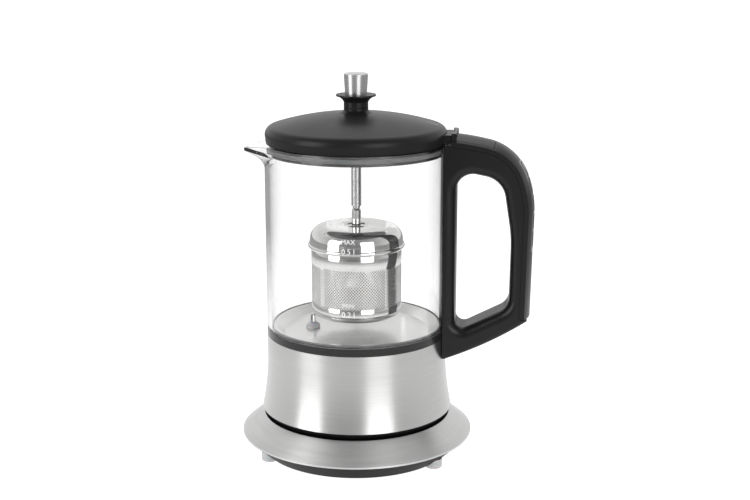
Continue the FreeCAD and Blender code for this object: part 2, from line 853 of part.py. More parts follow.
def heater_plate():
    """Pressed steel pan that forms the jug's floor, with the sensor's hole."""
    body = new_body("heater_plate")
    edge = glass_inner - d.fit_gap * 2 - d.seal_lip
    revolve(body, [
        (0, pan_underside),
        (d.pan_floor_radius, pan_underside),
        (d.pan_wall_radius, glass_foot),
        (edge, glass_foot),
        (edge, glass_foot + d.pan_sheet),
        (d.pan_wall_radius - 0.4, glass_foot + d.pan_sheet),
        (d.pan_floor_radius - 0.4, pan_floor_top),
        (0, pan_floor_top),
    ])
    pocket_up(body, "sensor",
              lambda s: circle(s, d.sensor_circle * -1.0, 0, d.sensor_radius + d.fit_gap * 5),
              pan_underside, d.pan_sheet)


def heat_spreader():
    """Aluminium disc that is bonded under the pan."""
    body = new_body("heat_spreader")
    pad(body, "disc", lambda s: circle(s, 0, 0, d.spreader_radius), spreader_bottom,
        d.spreader_thickness)
    pocket_up(body, "sensor",
              lambda s: circle(s, d.sensor_circle * -1.0, 0, d.grommet_radius + d.fit_gap),
              spreader_bottom, d.spreader_thickness)


def sensor_pin():
    """Temperature probe that stands up through the pan."""
    body = new_body("sensor_pin", 180.0)
    top = pan_floor_top + d.sensor_height
    revolve(body, [
        (0, pan_underside - d.sensor_tail),
        (d.sensor_radius, pan_underside - d.sensor_tail),
        (d.sensor_radius, top - 0.5),
        (d.sensor_radius - 0.5, top),
        (0, top),
    ], axis_x=d.sensor_circle)


def sensor_grommet():
    """Silicone grommet that seals the probe in the pan."""
    body = new_body("sensor_grommet", 180.0)
    bore = d.sensor_radius + d.thread_gap
    waist = d.sensor_radius + d.fit_gap * 4
    revolve(body, [
        (bore, pan_underside - d.spreader_thickness * 0.7),
        (d.grommet_radius - 0.4, pan_underside - d.spreader_thickness * 0.7),
        (d.grommet_radius - 0.4, pan_underside),
        (waist, pan_underside),
        (waist, pan_floor_top),
        (d.grommet_radius, pan_floor_top),
        (d.grommet_radius, pan_floor_top + d.grommet_height * 0.55),
        (d.grommet_radius - 1.6, pan_floor_top + d.grommet_height),
        (bore, pan_floor_top + d.grommet_height),
    ], axis_x=d.sensor_circle)


# Glass jug

def teardrop(radius, tip, nose, level):
    """Level outline of a circle drawn out to a rounded nose at -X."""
    centre = tip - nose
    if centre <= radius - nose + 0.01:
        return Part.Wire([Part.makeCircle(radius, FreeCAD.Vector(0, 0, level))])
    half = math.acos((radius - nose) / centre)
    tangent_y = math.sin(half)
    tangent_x = -math.cos(half)
    shoulder = [FreeCAD.Vector(radius * tangent_x, side * radius * tangent_y, level)
                for side in (1, -1)]
    beak = [FreeCAD.Vector(-centre + nose * tangent_x, side * nose * tangent_y, level)
            for side in (1, -1)]
    body_arc = Part.Arc(shoulder[0], FreeCAD.Vector(radius, 0, level), shoulder[1]).toShape()
    nose_arc = Part.Arc(beak[1], FreeCAD.Vector(-tip, 0, level), beak[0]).toShape()
    return Part.Wire([body_arc, Part.LineSegment(shoulder[1], beak[1]).toShape(), nose_arc,
                      Part.LineSegment(beak[0], shoulder[0]).toShape()])


def spout_solid(radius, bend, top):
    """Jug wall and spout as one solid. The front line leaves the wall on an arc of that bend, and
    runs on in a straight line to the lip."""
    turn = math.radians(mm("spout_bend_turn"))
    start = glass_rim.value - mm("spout_start_drop")
    tip = mm("spout_tip") - (mm("glass_radius") - radius) * 0.75
    nose = mm("spout_nose_radius") - (mm("glass_radius") - radius) * 0.75
    sections = []
    for share in (0.3, 0.55, 0.78, 1.0):
        angle = turn * share
        reach = radius + bend * (1 - math.cos(angle))
        blend = (reach - radius) / (tip - radius)
        sections.append((reach, start + bend * math.sin(angle), 12.0 + (nose - 12.0) * blend))
    knee_reach, knee_level, _ = sections[-1]
    slope = math.tan(math.pi / 2 - turn)
    sections.append((tip, knee_level + (tip - knee_reach) * slope, nose))
    sections.append((tip, top, nose))
    wires = [teardrop(radius, reach, width, level) for reach, level, width in sections]
    return Part.makeLoft(wires, True, True)


def glass_body():
    """Straight glass wall with a drawn-out pouring spout, opposite the handle."""
    foot = glass_foot.value
    rim = glass_rim.value
    over = rim + 12.0
    outer = Part.makeCylinder(mm("glass_radius"), over - foot, FreeCAD.Vector(0, 0, foot))
    inner = Part.makeCylinder(glass_inner.value, over - foot + 2.0,
                              FreeCAD.Vector(0, 0, foot - 1.0))
    outer_spout = spout_solid(mm("glass_radius"), mm("spout_bend_radius"), over)
    inner_spout = spout_solid(glass_inner.value, mm("spout_bend_radius") + mm("glass_wall"),
                              over + 1.0)
    wall = outer.fuse(outer_spout).cut(inner.fuse(inner_spout))
    tip = -mm("spout_tip") - 2.0
    mouth = -mm("glass_radius") * 0.8
    lip = rim - mm("spout_lip_drop")
    corners = [FreeCAD.Vector(tip, -70, lip), FreeCAD.Vector(mouth - 8.0, -70, rim - 1.0),
               FreeCAD.Vector(mouth, -70, rim), FreeCAD.Vector(80, -70, rim),
               FreeCAD.Vector(80, -70, over + 5.0), FreeCAD.Vector(tip, -70, over + 5.0)]
    side = Part.Face(Part.makePolygon(corners + corners[:1]))
    above = side.extrude(FreeCAD.Vector(0, 140, 0))
    shape_node("glass_body", wall.cut(above))


# Lid

def lid_cover():
    """Satin black dome with a neck for the lift rod and a tab towards the handle."""
    body = new_body("lid_cover")
    bush_hole = d.rod_radius + d.running_gap + d.bush_wall + d.fit_gap
    foot_drop = d.neck_foot_radius * d.neck_foot_radius / (d.lid_dome_radius * 2)
    reach = d.lid_dome_radius - d.lid_edge_radius
    inset = d.lid_radius - d.lid_edge_radius
    height = (reach * reach - inset * inset).root()
    share = d.lid_dome_radius / reach
    rim_inner = d.lid_skirt_radius - d.lid_rim_width
    inner_drop = rim_inner * rim_inner / (d.lid_dome_radius * 2)
    hole_drop = bush_hole * bush_hole / (d.lid_dome_radius * 2)
    revolve(body, [
        (bush_hole, neck_top),
        (bush_hole, lid_apex - d.lid_wall - hole_drop),
        (rim_inner, lid_apex - d.lid_wall - inner_drop),
        (rim_inner, lid_edge),
        (d.lid_skirt_radius, lid_edge),
        (d.lid_radius, lid_side_top),
        (d.lid_radius, lid_apex - d.lid_dome_radius + height),
        (inset * share, lid_apex - d.lid_dome_radius + height * share, d.lid_edge_radius),
        (d.neck_foot_radius, lid_apex - foot_drop, d.lid_dome_radius),
        (d.neck_radius, lid_apex + d.neck_height * 0.45, d.neck_cove_radius * -1.0),
        (d.neck_radius, neck_top),
    ])
    doc.recompute()
    nodes.remove(body)
    half = mm("tab_width") / 2
    top = lid_side_top.value + 1.6
    block = Part.makeBox(12.0, mm("tab_width"), mm("tab_thickness"),
                         FreeCAD.Vector(46.5, -half, top - mm("tab_thickness")))
    limit = Part.makeCylinder(mm("tab_radius"), 30.0, FreeCAD.Vector(0, 0, lid_edge.value))
    hollow = Part.makeCylinder(mm("lid_skirt_radius") - 1.2, 30.0,
                               FreeCAD.Vector(0, 0, lid_edge.value))
    body.Label = "lid_dome"
    shape_node("lid_cover", body.Shape.fuse(block.common(limit).cut(hollow)).removeSplitter())


def lid_collar():
    """Polished steel cup under the lid that drops into the glass, with a groove for its seal."""
    body = new_body("lid_collar")
    top = lid_edge
    bottom = top - d.collar_drop
    groove_low = bottom + 1.6
    groove_high = groove_low + d.lid_seal_height
    groove = d.collar_radius - 1.2
    tuck = d.lid_skirt_radius - d.lid_rim_width - d.fit_gap
    sheet = d.collar_sheet
    bush_hole = d.rod_radius + d.running_gap + d.bush_wall + d.fit_gap
    revolve(body, [
        (bush_hole, bottom),
        (d.collar_radius, bottom),
        (d.collar_radius, groove_low),
        (groove, groove_low),
        (groove, groove_high),
        (d.collar_radius, groove_high),
        (d.collar_radius, top),
        (tuck, top),
        (tuck, top + d.collar_tuck),
        (tuck - sheet, top + d.collar_tuck),
        (tuck - sheet, bottom + sheet),
        (bush_hole, bottom + sheet),
    ])


def lid_seal():
    """Silicone ring in the collar's groove."""
    body = new_body("lid_seal")
    low = lid_edge - d.collar_drop + 1.6
    inner = d.collar_radius - 1.2
    outer = d.collar_radius + 0.2
    revolve(body, [
        (inner, low),
        (d.collar_radius, low),
        (outer, low + d.lid_seal_height * 0.5),
        (d.collar_radius, low + d.lid_seal_height),
        (inner, low + d.lid_seal_height),
    ])


def lid_bush():
    """Guide bush for the rod, from the collar's floor up through the neck."""
    body = new_body("lid_bush")
    bore = d.rod_radius + d.running_gap
    low = lid_edge - d.collar_drop
    revolve(body, [
        (bore, low - 1.0),
        (d.bush_flange_radius, low - 1.0),
        (d.bush_flange_radius, low),
        (bore + d.bush_wall, low),
        (bore + d.bush_wall, neck_top - 0.4),
        (bore, neck_top - 0.4),
    ])


# Infuser and its lift

def knob_collar():
    """Black flanged spool that the fingers lift, seated on the lid's neck."""
    body = new_body("knob_collar")
    bore = d.rod_radius + d.thread_gap
    revolve(body, [
        (bore, spool_bottom),
        (d.neck_radius, spool_bottom),
        (d.neck_radius, spool_bottom + d.spool_foot_height),
        (d.spool_radius, spool_top - d.spool_rim, d.spool_cove_radius * -1.0),
        (d.spool_radius, spool_top),
        (d.knob_foot_radius + d.fit_gap, spool_top),
        (d.knob_foot_radius + d.fit_gap, knob_bottom),
        (bore, knob_bottom),
    ])


def knob_cap():
    """Steel cap on the end of the rod."""
    body = new_body("knob_cap")
    bore = d.rod_radius + d.thread_gap
    revolve(body, [
        (bore, knob_bottom),
        (d.knob_foot_radius, knob_bottom),
        (d.knob_top_radius, knob_top - 0.8),
        (d.knob_top_radius - 0.6, knob_top - 0.25),
        (0, knob_top),
        (0, rod_top + d.fit_gap),
        (bore, rod_top + d.fit_gap),
    ])


def lift_rod():
    """Brushed rod from the knob down to the snap joint."""
    body = new_body("lift_rod")
    revolve(body, [
        (0, rod_bottom),
        (d.rod_neck_radius, rod_bottom),
        (d.rod_neck_radius, rod_bottom + d.rod_neck_length),
        (d.rod_radius, rod_bottom + d.rod_neck_length),
        (d.rod_radius, rod_top),
        (0, rod_top),
    ])


def infuser_stem():
    """Polished stem of the infuser, riveted through its cap."""
    body = new_body("infuser_stem")
    seat = cap_top - d.cap_dimple_depth
    revolve(body, [
        (0, seat - d.stem_tenon_length),
        (d.stem_tenon_radius + 1.2, seat - d.stem_tenon_length),
        (d.stem_tenon_radius + 1.2, seat - d.cap_sheet),
        (d.stem_tenon_radius, seat - d.cap_sheet),
        (d.stem_tenon_radius, seat),
        (d.stem_radius, seat),
        (d.stem_radius, rod_bottom - 1.0),
        (d.rod_neck_radius, rod_bottom),
        (0, rod_bottom),
    ])


def infuser_cap():
    """Polished steel cap of the basket: rounded shoulder, rolled lower bead, vent holes."""
    body = new_body("infuser_cap")
    sheet = d.cap_sheet
    hole = d.stem_tenon_radius + d.fit_gap
    dimple = d.cap_dimple_radius
    shoulder = d.cap_shoulder
    revolve(body, [
        (hole, cap_top - d.cap_dimple_depth),
        (hole, cap_top - d.cap_dimple_depth - sheet),
        (dimple + 0.6, cap_top - d.cap_dimple_depth - sheet),
        (dimple + 1.2, cap_top - sheet),
        (d.cap_radius - shoulder, cap_top - sheet),
        (d.cap_radius - sheet, cap_top - shoulder),
        (d.cap_radius - sheet, cap_rim),
        (d.cap_radius + d.cap_bead * 0.6, cap_rim),
        (d.cap_radius + d.cap_bead * 0.6, cap_rim + d.cap_bead * 2),
        (d.cap_radius, cap_rim + d.cap_bead * 2),
        (d.cap_radius, cap_top - shoulder),
        (d.cap_radius - shoulder, cap_top, shoulder),
        (dimple + 1.0, cap_top),
        (dimple, cap_top - d.cap_dimple_depth),
    ])
    vent = pocket_up(body, "vent", lambda s: circle(s, d.vent_circle, 0, d.vent_radius),
                     cap_top - sheet * 2, sheet * 3)
    around(body, "vents", [vent], 8)


def infuser_basket():
    """Deep steel basket with four wide fields, set back by the depth of their perforation."""
    body = new_body("infuser_basket")
    bottom = cap_top - d.cap_height - (d.basket_height - d.cap_height) - 5.6
    sheet = d.basket_sheet
    corner = d.basket_corner
    top = bottom + d.basket_height
    revolve(body, [
        (0, bottom + sheet),
        (0, bottom),
        (basket_radius - corner, bottom),
        (basket_radius, bottom + corner, corner),
        (basket_radius, top),
        (basket_radius - sheet, top),
        (basket_radius - sheet, bottom + corner),
        (basket_radius - corner, bottom + sheet),
    ])
    panel = body.newObject("Sketcher::SketchObject", "infuser_basket_panel")
    panel.AttachmentSupport = [(plane(body, "XZ_Plane"), "")]
    panel.MapMode = "FlatFace"
    outline(panel, [
        (basket_radius - d.basket_panel_depth, bottom + d.basket_panel_bottom),
        (basket_radius + 1.0, bottom + d.basket_panel_bottom),
        (basket_radius + 1.0, bottom + d.basket_panel_top),
        (basket_radius - d.basket_panel_depth, bottom + d.basket_panel_top),
    ])
    groove = body.newObject("PartDesign::Groove", "infuser_basket_field")
    groove.Profile = panel
    groove.ReferenceAxis = (panel, ["V_Axis"])
    groove.Angle = 83.0
    groove.Midplane = True
    around(body, "profile_fields", [groove], 4)


# Handle

class Rail:
    """The handle's outer line in the XZ plane, as a chain of tangent arcs and a straight end, and
    lines parallel to it further in. Distances along it are measured on the outer line."""

    def __init__(self):
        heading = math.radians(-mm("handle_start_slope"))
        point = (mm("handle_start_x"), mm("handle_start_level"))
        self.pieces = []
        station = 0.0
        for name in ("top", "shoulder", "back"):
            radius = mm("handle_" + name + "_radius")
            turn = math.radians(mm("handle_" + name + "_turn"))
            centre = (point[0] + radius * math.sin(heading), point[1] - radius * math.cos(heading))
            self.pieces.append((station, radius * turn, centre, radius, heading, point))
            station += radius * turn
            heading -= turn
            point = (centre[0] - radius * math.sin(heading), centre[1] + radius * math.cos(heading))
        length = mm("handle_back_length")
        self.pieces.append((station, length, None, 0.0, heading, point))
        self.length = station + length

    def at(self, station, depth=0.0):
        """The point at a station, at a depth below the outer line, and the heading there."""
        for begin, length, centre, radius, heading, point in self.pieces:
            if station <= begin + length or begin + length >= self.length - 1e-9:
                along = station - begin
                if centre is None:
                    x = point[0] + along * math.cos(heading)
                    z = point[1] + along * math.sin(heading)
                    return (x + depth * math.sin(heading), z - depth * math.cos(heading)), heading
                turned = heading - along / radius
                reach = radius - depth
                return ((centre[0] - reach * math.sin(turned),
                         centre[1] + reach * math.cos(turned)), turned)
        raise RuntimeError("station off the rail")

    def edges(self, depth, start, end):
        """Edges of the parallel line between two stations."""
        made = []
        for begin, length, centre, _, _, _ in self.pieces:
            low = max(start, begin)
            high = min(end, begin + length)
            if high - low < 1e-6:
                continue
            ends = [self.at(station, depth)[0] for station in (low, (low + high) / 2, high)]
            points = [FreeCAD.Vector(x, 0, z) for x, z in ends]
            if centre is None:
                made.append(Part.LineSegment(points[0], points[2]).toShape())
            else:
                made.append(Part.Arc(*points).toShape())
        return made

    def ribbon(self, low, high, half_width, start, end):
        """A band between two depths and two stations, that wide to each side."""
        near = self.edges(low, start, end)
        far = self.edges(high, start, end)
        first = near[0].Vertexes[0].Point
        last = near[-1].Vertexes[-1].Point
        far_first = far[0].Vertexes[0].Point
        far_last = far[-1].Vertexes[-1].Point
        caps = [Part.LineSegment(last, far_last).toShape(),
                Part.LineSegment(far_first, first).toShape()]
        wire = Part.Wire(Part.sortEdges(near + far + caps)[0])
        face = Part.Face(wire)
        face.translate(FreeCAD.Vector(0, -half_width, 0))
        return face.extrude(FreeCAD.Vector(0, 2 * half_width, 0))

    def crowned(self, grow, depth, start, end):
        """The crowned bar that the handle's back and top are cut from, piece by piece."""
        half = mm("handle_width") / 2
        crown = mm("handle_crown")
        bars = []
        for begin, length, centre, radius, _, _ in self.pieces:
            low = max(start, begin)
            high = min(end, begin + length)
            if high - low < 1e-6:
                continue
            (x, z), heading = self.at(low)
            down = FreeCAD.Vector(math.sin(heading), 0, -math.cos(heading))
            top = FreeCAD.Vector(x, 0, z) - down * grow
            across = FreeCAD.Vector(0, half + grow, 0)
            left = top - across + down * crown
            right = top + across + down * crown
            deep = down * (depth - crown + grow)
            section = Part.Face(Part.Wire([
                Part.Arc(left, top, right).toShape(),
                Part.LineSegment(right, right + deep).toShape(),
                Part.LineSegment(right + deep, left + deep).toShape(),
                Part.LineSegment(left + deep, left).toShape(),
            ]))
            if centre is None:
                forward = FreeCAD.Vector(math.cos(heading), 0, math.sin(heading))
                bars.append(section.extrude(forward * (high - low)))
            else:
                bars.append(section.revolve(FreeCAD.Vector(centre[0], 0, centre[1]),
                                            FreeCAD.Vector(0, 1, 0),
                                            math.degrees((high - low) / radius)))
        return bars[0].fuse(bars[1:]) if len(bars) > 1 else bars[0]


def cylinder_z(radius, low, high):
    """An upright cylinder on the axis between two levels."""
    return Part.makeCylinder(radius, high - low, FreeCAD.Vector(0, 0, low))


def rounded(corners, half_width):
    """A prism across the handle whose corners (x, z, radius) are rounded tangentially."""
    pieces = []
    ends = []
    for index, (x, z, radius) in enumerate(corners):
        here = FreeCAD.Vector(x, 0, z)
        before = FreeCAD.Vector(corners[index - 1][0], 0, corners[index - 1][1])
        after = corners[(index + 1) % len(corners)]
        to_before = (before - here).normalize()
        to_after = (FreeCAD.Vector(after[0], 0, after[1]) - here).normalize()
        half_angle = to_before.getAngle(to_after) / 2
        start = here + to_before * (radius / math.tan(half_angle))
        end = here + to_after * (radius / math.tan(half_angle))
        bisector = (to_before + to_after).normalize()
        middle = here + bisector * (radius / math.sin(half_angle) - radius)
        pieces.append(Part.Arc(start, middle, end).toShape())
        ends.append((start, end))
    for index, (_, end) in enumerate(ends):
        pieces.append(Part.LineSegment(end, ends[(index + 1) % len(ends)][0]).toShape())
    face = Part.Face(Part.Wire(Part.sortEdges(pieces)[0]))
    face.translate(FreeCAD.Vector(0, -half_width, 0))
    return face.extrude(FreeCAD.Vector(0, 2 * half_width, 0))


def finger_hole():
    """The opening for the fingers, as a solid across the handle."""
    left = mm("bracket_reach")
    grip = mm("grip_inner_x")
    top = mm("finger_top_level")
    low = mm("finger_heel_level")
    return rounded([
        (left, top + 1.8, mm("finger_top_radius")),
        (grip - 5.0, top - 3.2, mm("finger_shoulder_radius")),
        (grip + 0.2, top - 36.0, mm("grip_bend_radius")),
        (grip - 0.4, low, mm("finger_heel_radius")),
        (left, low - mm("finger_foot_fall"), mm("finger_toe_radius")),
    ], mm("handle_width"))


def on_side(edge, half):
    """Whether an edge lies wholly in one of the handle's two side faces."""
    box = edge.BoundBox
    return box.YLength < 1e-4 and abs(abs(box.YMin) - half) < 1e-4


def handle_shell(rail):
    """Inner part of the handle: bracket against the jug, arms and grip round the finger hole."""
    half = mm("handle_width") / 2
    seam = mm("handle_seam_depth") + mm("handle_seam_gap")
    foot = mm("handle_foot_level")
    inner = 44.0
    seam_edges = rail.edges(seam, 0.0, rail.length)
    seam_start = seam_edges[0].Vertexes[0].Point
    seam_end = seam_edges[-1].Vertexes[-1].Point
    heel = FreeCAD.Vector(seam_end.x + 4.6, 0, seam_end.z - 1.6)
    toe = FreeCAD.Vector(mm("bracket_reach") - 5.0, 0, foot)
    centre = arc_centre((heel.x, heel.z), (toe.x, toe.z), -mm("handle_foot_sweep"))
    middle = ((heel.x + toe.x) / 2 - centre[0], (heel.z + toe.z) / 2 - centre[1])
    scale = mm("handle_foot_sweep") / math.hypot(*middle)
    belly = FreeCAD.Vector(centre[0] + middle[0] * scale, 0, centre[1] + middle[1] * scale)
    corner_top = FreeCAD.Vector(inner, 0, seam_start.z + 0.3)
    corner_low = FreeCAD.Vector(inner, 0, foot)
    wire = Part.Wire([
        Part.LineSegment(corner_top, seam_start).toShape(),
        *seam_edges,
        Part.LineSegment(seam_end, heel).toShape(),
        Part.Arc(heel, belly, toe).toShape(),
        Part.LineSegment(toe, corner_low).toShape(),
        Part.LineSegment(corner_low, corner_top).toShape(),
    ])
    face = Part.Face(wire)
    face.translate(FreeCAD.Vector(0, -half, 0))
    block = face.extrude(FreeCAD.Vector(0, 2 * half, 0)).cut(finger_hole())
    left = mm("bracket_reach")
    grip = mm("grip_inner_x")

    def round_finger(edge):
        box = edge.BoundBox
        inside = (box.XMin > left - 1e-4 and box.XMax < grip + 2.0
                  and box.ZMax < mm("finger_top_level") + 1e-3
                  and box.ZMin > mm("finger_heel_level") - mm("finger_foot_fall"))
        return on_side(edge, half) and inside

    block = block.makeFillet(mm("finger_fillet"), [e for e in block.Edges if round_finger(e)])

    def round_foot(edge):
        box = edge.BoundBox
        return on_side(edge, half) and box.ZMin < foot + 1e-3 and box.XMax > left

    block = block.makeFillet(mm("handle_foot_fillet"), [e for e in block.Edges if round_foot(e)])
    block = block.cut(cylinder_z(mm("glass_radius") + mm("running_gap"), foot - 5.0,
                                 seam_start.z + 5.0))
    level = mm("handle_screw_level")
    for side in (0.5, -0.5):
        pilot = Part.makeCylinder(mm("screw_radius") + mm("thread_gap"),
                                  mm("handle_screw_length") + 2.0,
                                  FreeCAD.Vector(50.0, side * mm("handle_screw_spacing"), level),
                                  FreeCAD.Vector(1, 0, 0))
        block = block.cut(pilot)
    shape_node("handle_shell", block.cut([board_bay(rail), spring_bay(rail)]))


def board_plane(rail):
    """Middle and direction of the control board, a chord behind the curved keys."""
    gap = mm("handle_seam_depth") + mm("handle_seam_gap") + 0.6
    upper = rail.at(mm("panel_start") + 1.0, gap)[0]
    lower = rail.at(mm("panel_end") - 1.0, gap)[0]
    along = FreeCAD.Vector(lower[0] - upper[0], 0, lower[1] - upper[1])
    return FreeCAD.Vector(upper[0], 0, upper[1]), along


def slab(origin, along, half_width, depth):
    """A flat slab from a line in the XZ plane, thick towards the finger hole."""
    inward = FreeCAD.Vector(along.z, 0, -along.x)
    inward.normalize()
    inward = inward * depth
    corners = [origin, origin + along, origin + along + inward, origin + inward]
    face = Part.Face(Part.makePolygon(corners + corners[:1]))
    face.translate(FreeCAD.Vector(0, -half_width, 0))
    return face.extrude(FreeCAD.Vector(0, 2 * half_width, 0))


def board_bay(rail):
    """Room for the control board and the key stems in the grip."""
    origin, along = board_plane(rail)
    half = mm("control_board_width") / 2 + mm("running_gap")
    bay = slab(origin, along, half, mm("control_board_sheet") + mm("fit_gap"))
    front = rail.ribbon(mm("handle_seam_depth") - 1.0, mm("handle_seam_depth") + 5.6, half,
                        mm("panel_start") + 2.0, mm("panel_end") - 2.0)
    back = slab(origin, along, half, 30.0)
    return bay.fuse(front.cut(back)).removeSplitter()


def spring_bay(rail):
    """Round pocket for the button's spring."""
    (x, z), heading = rail.at((mm("button_start") + mm("button_end")) / 2,
                              mm("handle_seam_depth") + 5.0)
    up = FreeCAD.Vector(-math.sin(heading), 0, math.cos(heading))
    return Part.makeCylinder(mm("button_spring_radius") + mm("running_gap"), 10.0,
                             FreeCAD.Vector(x, 0, z), up)


def handle_cover(rail):
    """Outer part of the handle: crowned top and back, windows for button and panel, and the ear."""
    depth = mm("handle_seam_depth")
    half = mm("handle_width") / 2
    shape = rail.crowned(0.0, depth, 0.0, rail.length)
    (x, z), _ = rail.at(mm("button_start"))
    ear_half = mm("tab_width") / 2 + 1.0
    ear = Part.makeBox(x - 50.0, 2 * ear_half, mm("ear_height") + 3.0,
                       FreeCAD.Vector(50.0, -ear_half, z - 3.0))
    ear = ear.makeFillet(0.7, [e for e in ear.Edges if abs(e.BoundBox.ZMin - ear.BoundBox.ZMax)
                               < 1e-6 and e.BoundBox.YLength > 1.0])
    shape = shape.fuse(ear)
    shape = shape.cut(cylinder_z(mm("tab_radius") + mm("ear_gap"), 150.0, 220.0))
    gap = mm("running_gap")
    button_half = half - mm("button_side_wall")
    shape = shape.cut(rail.ribbon(-3.0, depth + 2.0, button_half, mm("button_start") - gap,
                                  mm("button_end") + gap))
    panel_half = mm("panel_width") / 2 + mm("fit_gap") / 2
    shape = shape.cut(rail.ribbon(-3.0, mm("panel_thickness") + 0.1, panel_half,
                                  mm("panel_start") - 0.1, mm("panel_end") + 0.1))
    shape = shape.cut(rail.ribbon(-3.0, depth + 2.0, mm("key_width") / 2 + gap,
                                  mm("panel_start") + 0.6, mm("panel_end") - 0.6))
    shape_node("handle_cover", shape)


def key_stations():
    """Where each key is centred along the rail."""
    return [mm("key_first") + index * mm("key_pitch") for index in range(len(KEY_NAMES))]


def control_panel(rail):
    """Thin strip let into the handle's back, with a window for each key."""
    shape = rail.ribbon(-3.0, mm("panel_thickness"), mm("panel_width") / 2, mm("panel_start"),
                        mm("panel_end"))
    shape = shape.common(rail.crowned(0.0, 12.0, 0.0, rail.length))
    gap = mm("running_gap")
    for station in key_stations():
        window = rail.ribbon(-3.0, 6.0, mm("key_width") / 2 - 0.9 + gap,
                             station - mm("key_length") / 2 - gap,
                             station + mm("key_length") / 2 + gap)
        shape = shape.cut(window)
    shape_node("control_panel", shape)


def key_shape(rail, station):
    """One key: crowned cap, a hidden flange under the panel and a stem to the board."""
    half_length = mm("key_length") / 2
    half_width = mm("key_width") / 2 - 0.9
    crown = rail.crowned(0.15, 12.0, station - half_length - 2.0, station + half_length + 2.0)
    cap = rail.ribbon(-3.0, mm("panel_thickness") + 1.4, half_width, station - half_length,
                      station + half_length).common(crown)
    flange_top = mm("panel_thickness") + mm("fit_gap")
    flange = rail.ribbon(flange_top, flange_top + 1.0, half_width + 0.7,
                         station - half_length - 0.4, station + half_length + 0.4)
    (x, z), heading = rail.at(station, mm("panel_thickness") + 1.0)
    inward = FreeCAD.Vector(math.sin(heading), 0, -math.cos(heading))
    origin, along = board_plane(rail)
    normal = FreeCAD.Vector(along.z, 0, -along.x)
    normal.normalize()
    start = FreeCAD.Vector(x, 0, z)
    facing = inward.dot(normal)
    lean = mm("key_stem_radius") * math.sqrt(1 - facing * facing)
    clear = mm("key_travel") + mm("running_gap") + lean
    reach = ((origin - start).dot(normal) - clear) / facing
    stem = Part.makeCylinder(mm("key_stem_radius"), reach, start, inward)
    return cap.fuse([flange, stem])


def keys(rail):
    """Five separate keys."""
    for name, station in zip(KEY_NAMES, key_stations()):
        shape_node(name, key_shape(rail, station))


def control_board(rail):
    """Flat board behind the keys."""
    origin, along = board_plane(rail)
    unit = FreeCAD.Vector(along)
    unit.normalize()
    gap = mm("fit_gap")
    shape_node("control_board", slab(origin + unit * gap, along - unit * (2 * gap),
                                     mm("control_board_width") / 2, mm("control_board_sheet")))


def lid_button(rail):
    """Large button in the top of the handle, with a hollow boss over its spring."""
    gap = mm("running_gap")
    half = mm("handle_width") / 2 - mm("button_side_wall") - gap
    crown = rail.crowned(0.0, 12.0, 0.0, rail.length)
    skirt = mm("handle_seam_depth") + mm("handle_seam_gap") - mm("button_travel") - 0.4
    top = rail.ribbon(-3.0, skirt, half, mm("button_start"), mm("button_end")).common(crown)
    hollow = rail.ribbon(mm("button_thickness"), 12.0, half - 2.6, mm("button_start") + 1.8,
                         mm("button_end") - 1.8)
    (x, z), heading = rail.at((mm("button_start") + mm("button_end")) / 2,
                              mm("handle_seam_depth") - 1.0)
    up = FreeCAD.Vector(-math.sin(heading), 0, math.cos(heading))
    boss = Part.makeCylinder(mm("button_spring_radius") - 1.2, mm("handle_seam_depth") - 2.0,
                             FreeCAD.Vector(x, 0, z), up)
    shape_node("lid_button", top.cut(hollow).fuse(boss))


def button_spring(rail):
    """Coil under the button, as one plain sleeve."""
    station = (mm("button_start") + mm("button_end")) / 2
    depth = mm("handle_seam_depth") + 5.0 - mm("fit_gap")
    (x, z), heading = rail.at(station, depth)
    up = FreeCAD.Vector(-math.sin(heading), 0, math.cos(heading))
    length = depth - mm("button_thickness") - mm("fit_gap")
    outer = Part.makeCylinder(mm("button_spring_radius"), length, FreeCAD.Vector(x, 0, z), up)
    inner = Part.makeCylinder(mm("button_spring_radius") - 0.9, length, FreeCAD.Vector(x, 0, z), up)
    shape_node("button_spring", outer.cut(inner))


def handle_screws():
    """Two screws from inside the sleeve into the handle's bracket."""
    solids = []
    head = mm("screw_head_height")
    for side in (0.5, -0.5):
        y = side * mm("handle_screw_spacing")
        seat = math.sqrt((mm("glass_radius") - mm("sleeve_sheet")) ** 2
                         - (abs(y) + mm("screw_head_radius")) ** 2) - 0.05
        place = FreeCAD.Vector(seat - head, y, mm("handle_screw_level"))
        along = FreeCAD.Vector(1, 0, 0)
        cap = Part.makeCylinder(mm("screw_head_radius"), head, place, along)
        shank = Part.makeCylinder(mm("screw_radius"), mm("handle_screw_length"),
                                  place + along * head, along)
        solids.append(cap.fuse(shank).removeSplitter())
    shape_node("handle_screws", Part.makeCompound(solids))


def build():
    """Makes every node in order, from the table up."""
    base_top_plate()
    base_deck()
    base_housing()
    base_feet()
    screws("base_screws", d.base_boss_circle, d.foot_height + d.fit_gap, d.base_screw_length,
           BASE_BOSS_ANGLES[0], len(BASE_BOSS_ANGLES))
    base_connector()
    base_contacts()
    cord_gland()
    jug_socket()
    socket_contacts()
    jug_bottom_cover()
    screws("jug_screws", d.jug_boss_circle, jug_foot, d.jug_screw_length,
           JUG_BOSS_ANGLES[0], len(JUG_BOSS_ANGLES))
    steel_sleeve()
    power_board()
    heating_element()
    dry_boil_cutout()
    trim_ring()
    glass_seal()
    heater_plate()
    heat_spreader()
    sensor_pin()
    sensor_grommet()
    glass_body()
    lid_cover()
    lid_collar()
    lid_seal()
    lid_bush()
    knob_collar()
    knob_cap()
    lift_rod()
    infuser_stem()
    infuser_cap()
    infuser_basket()
    rail = Rail()
    handle_shell(rail)
    handle_cover(rail)
    control_panel(rail)
    keys(rail)
    control_board(rail)
    lid_button(rail)
    button_spring(rail)
    handle_screws()


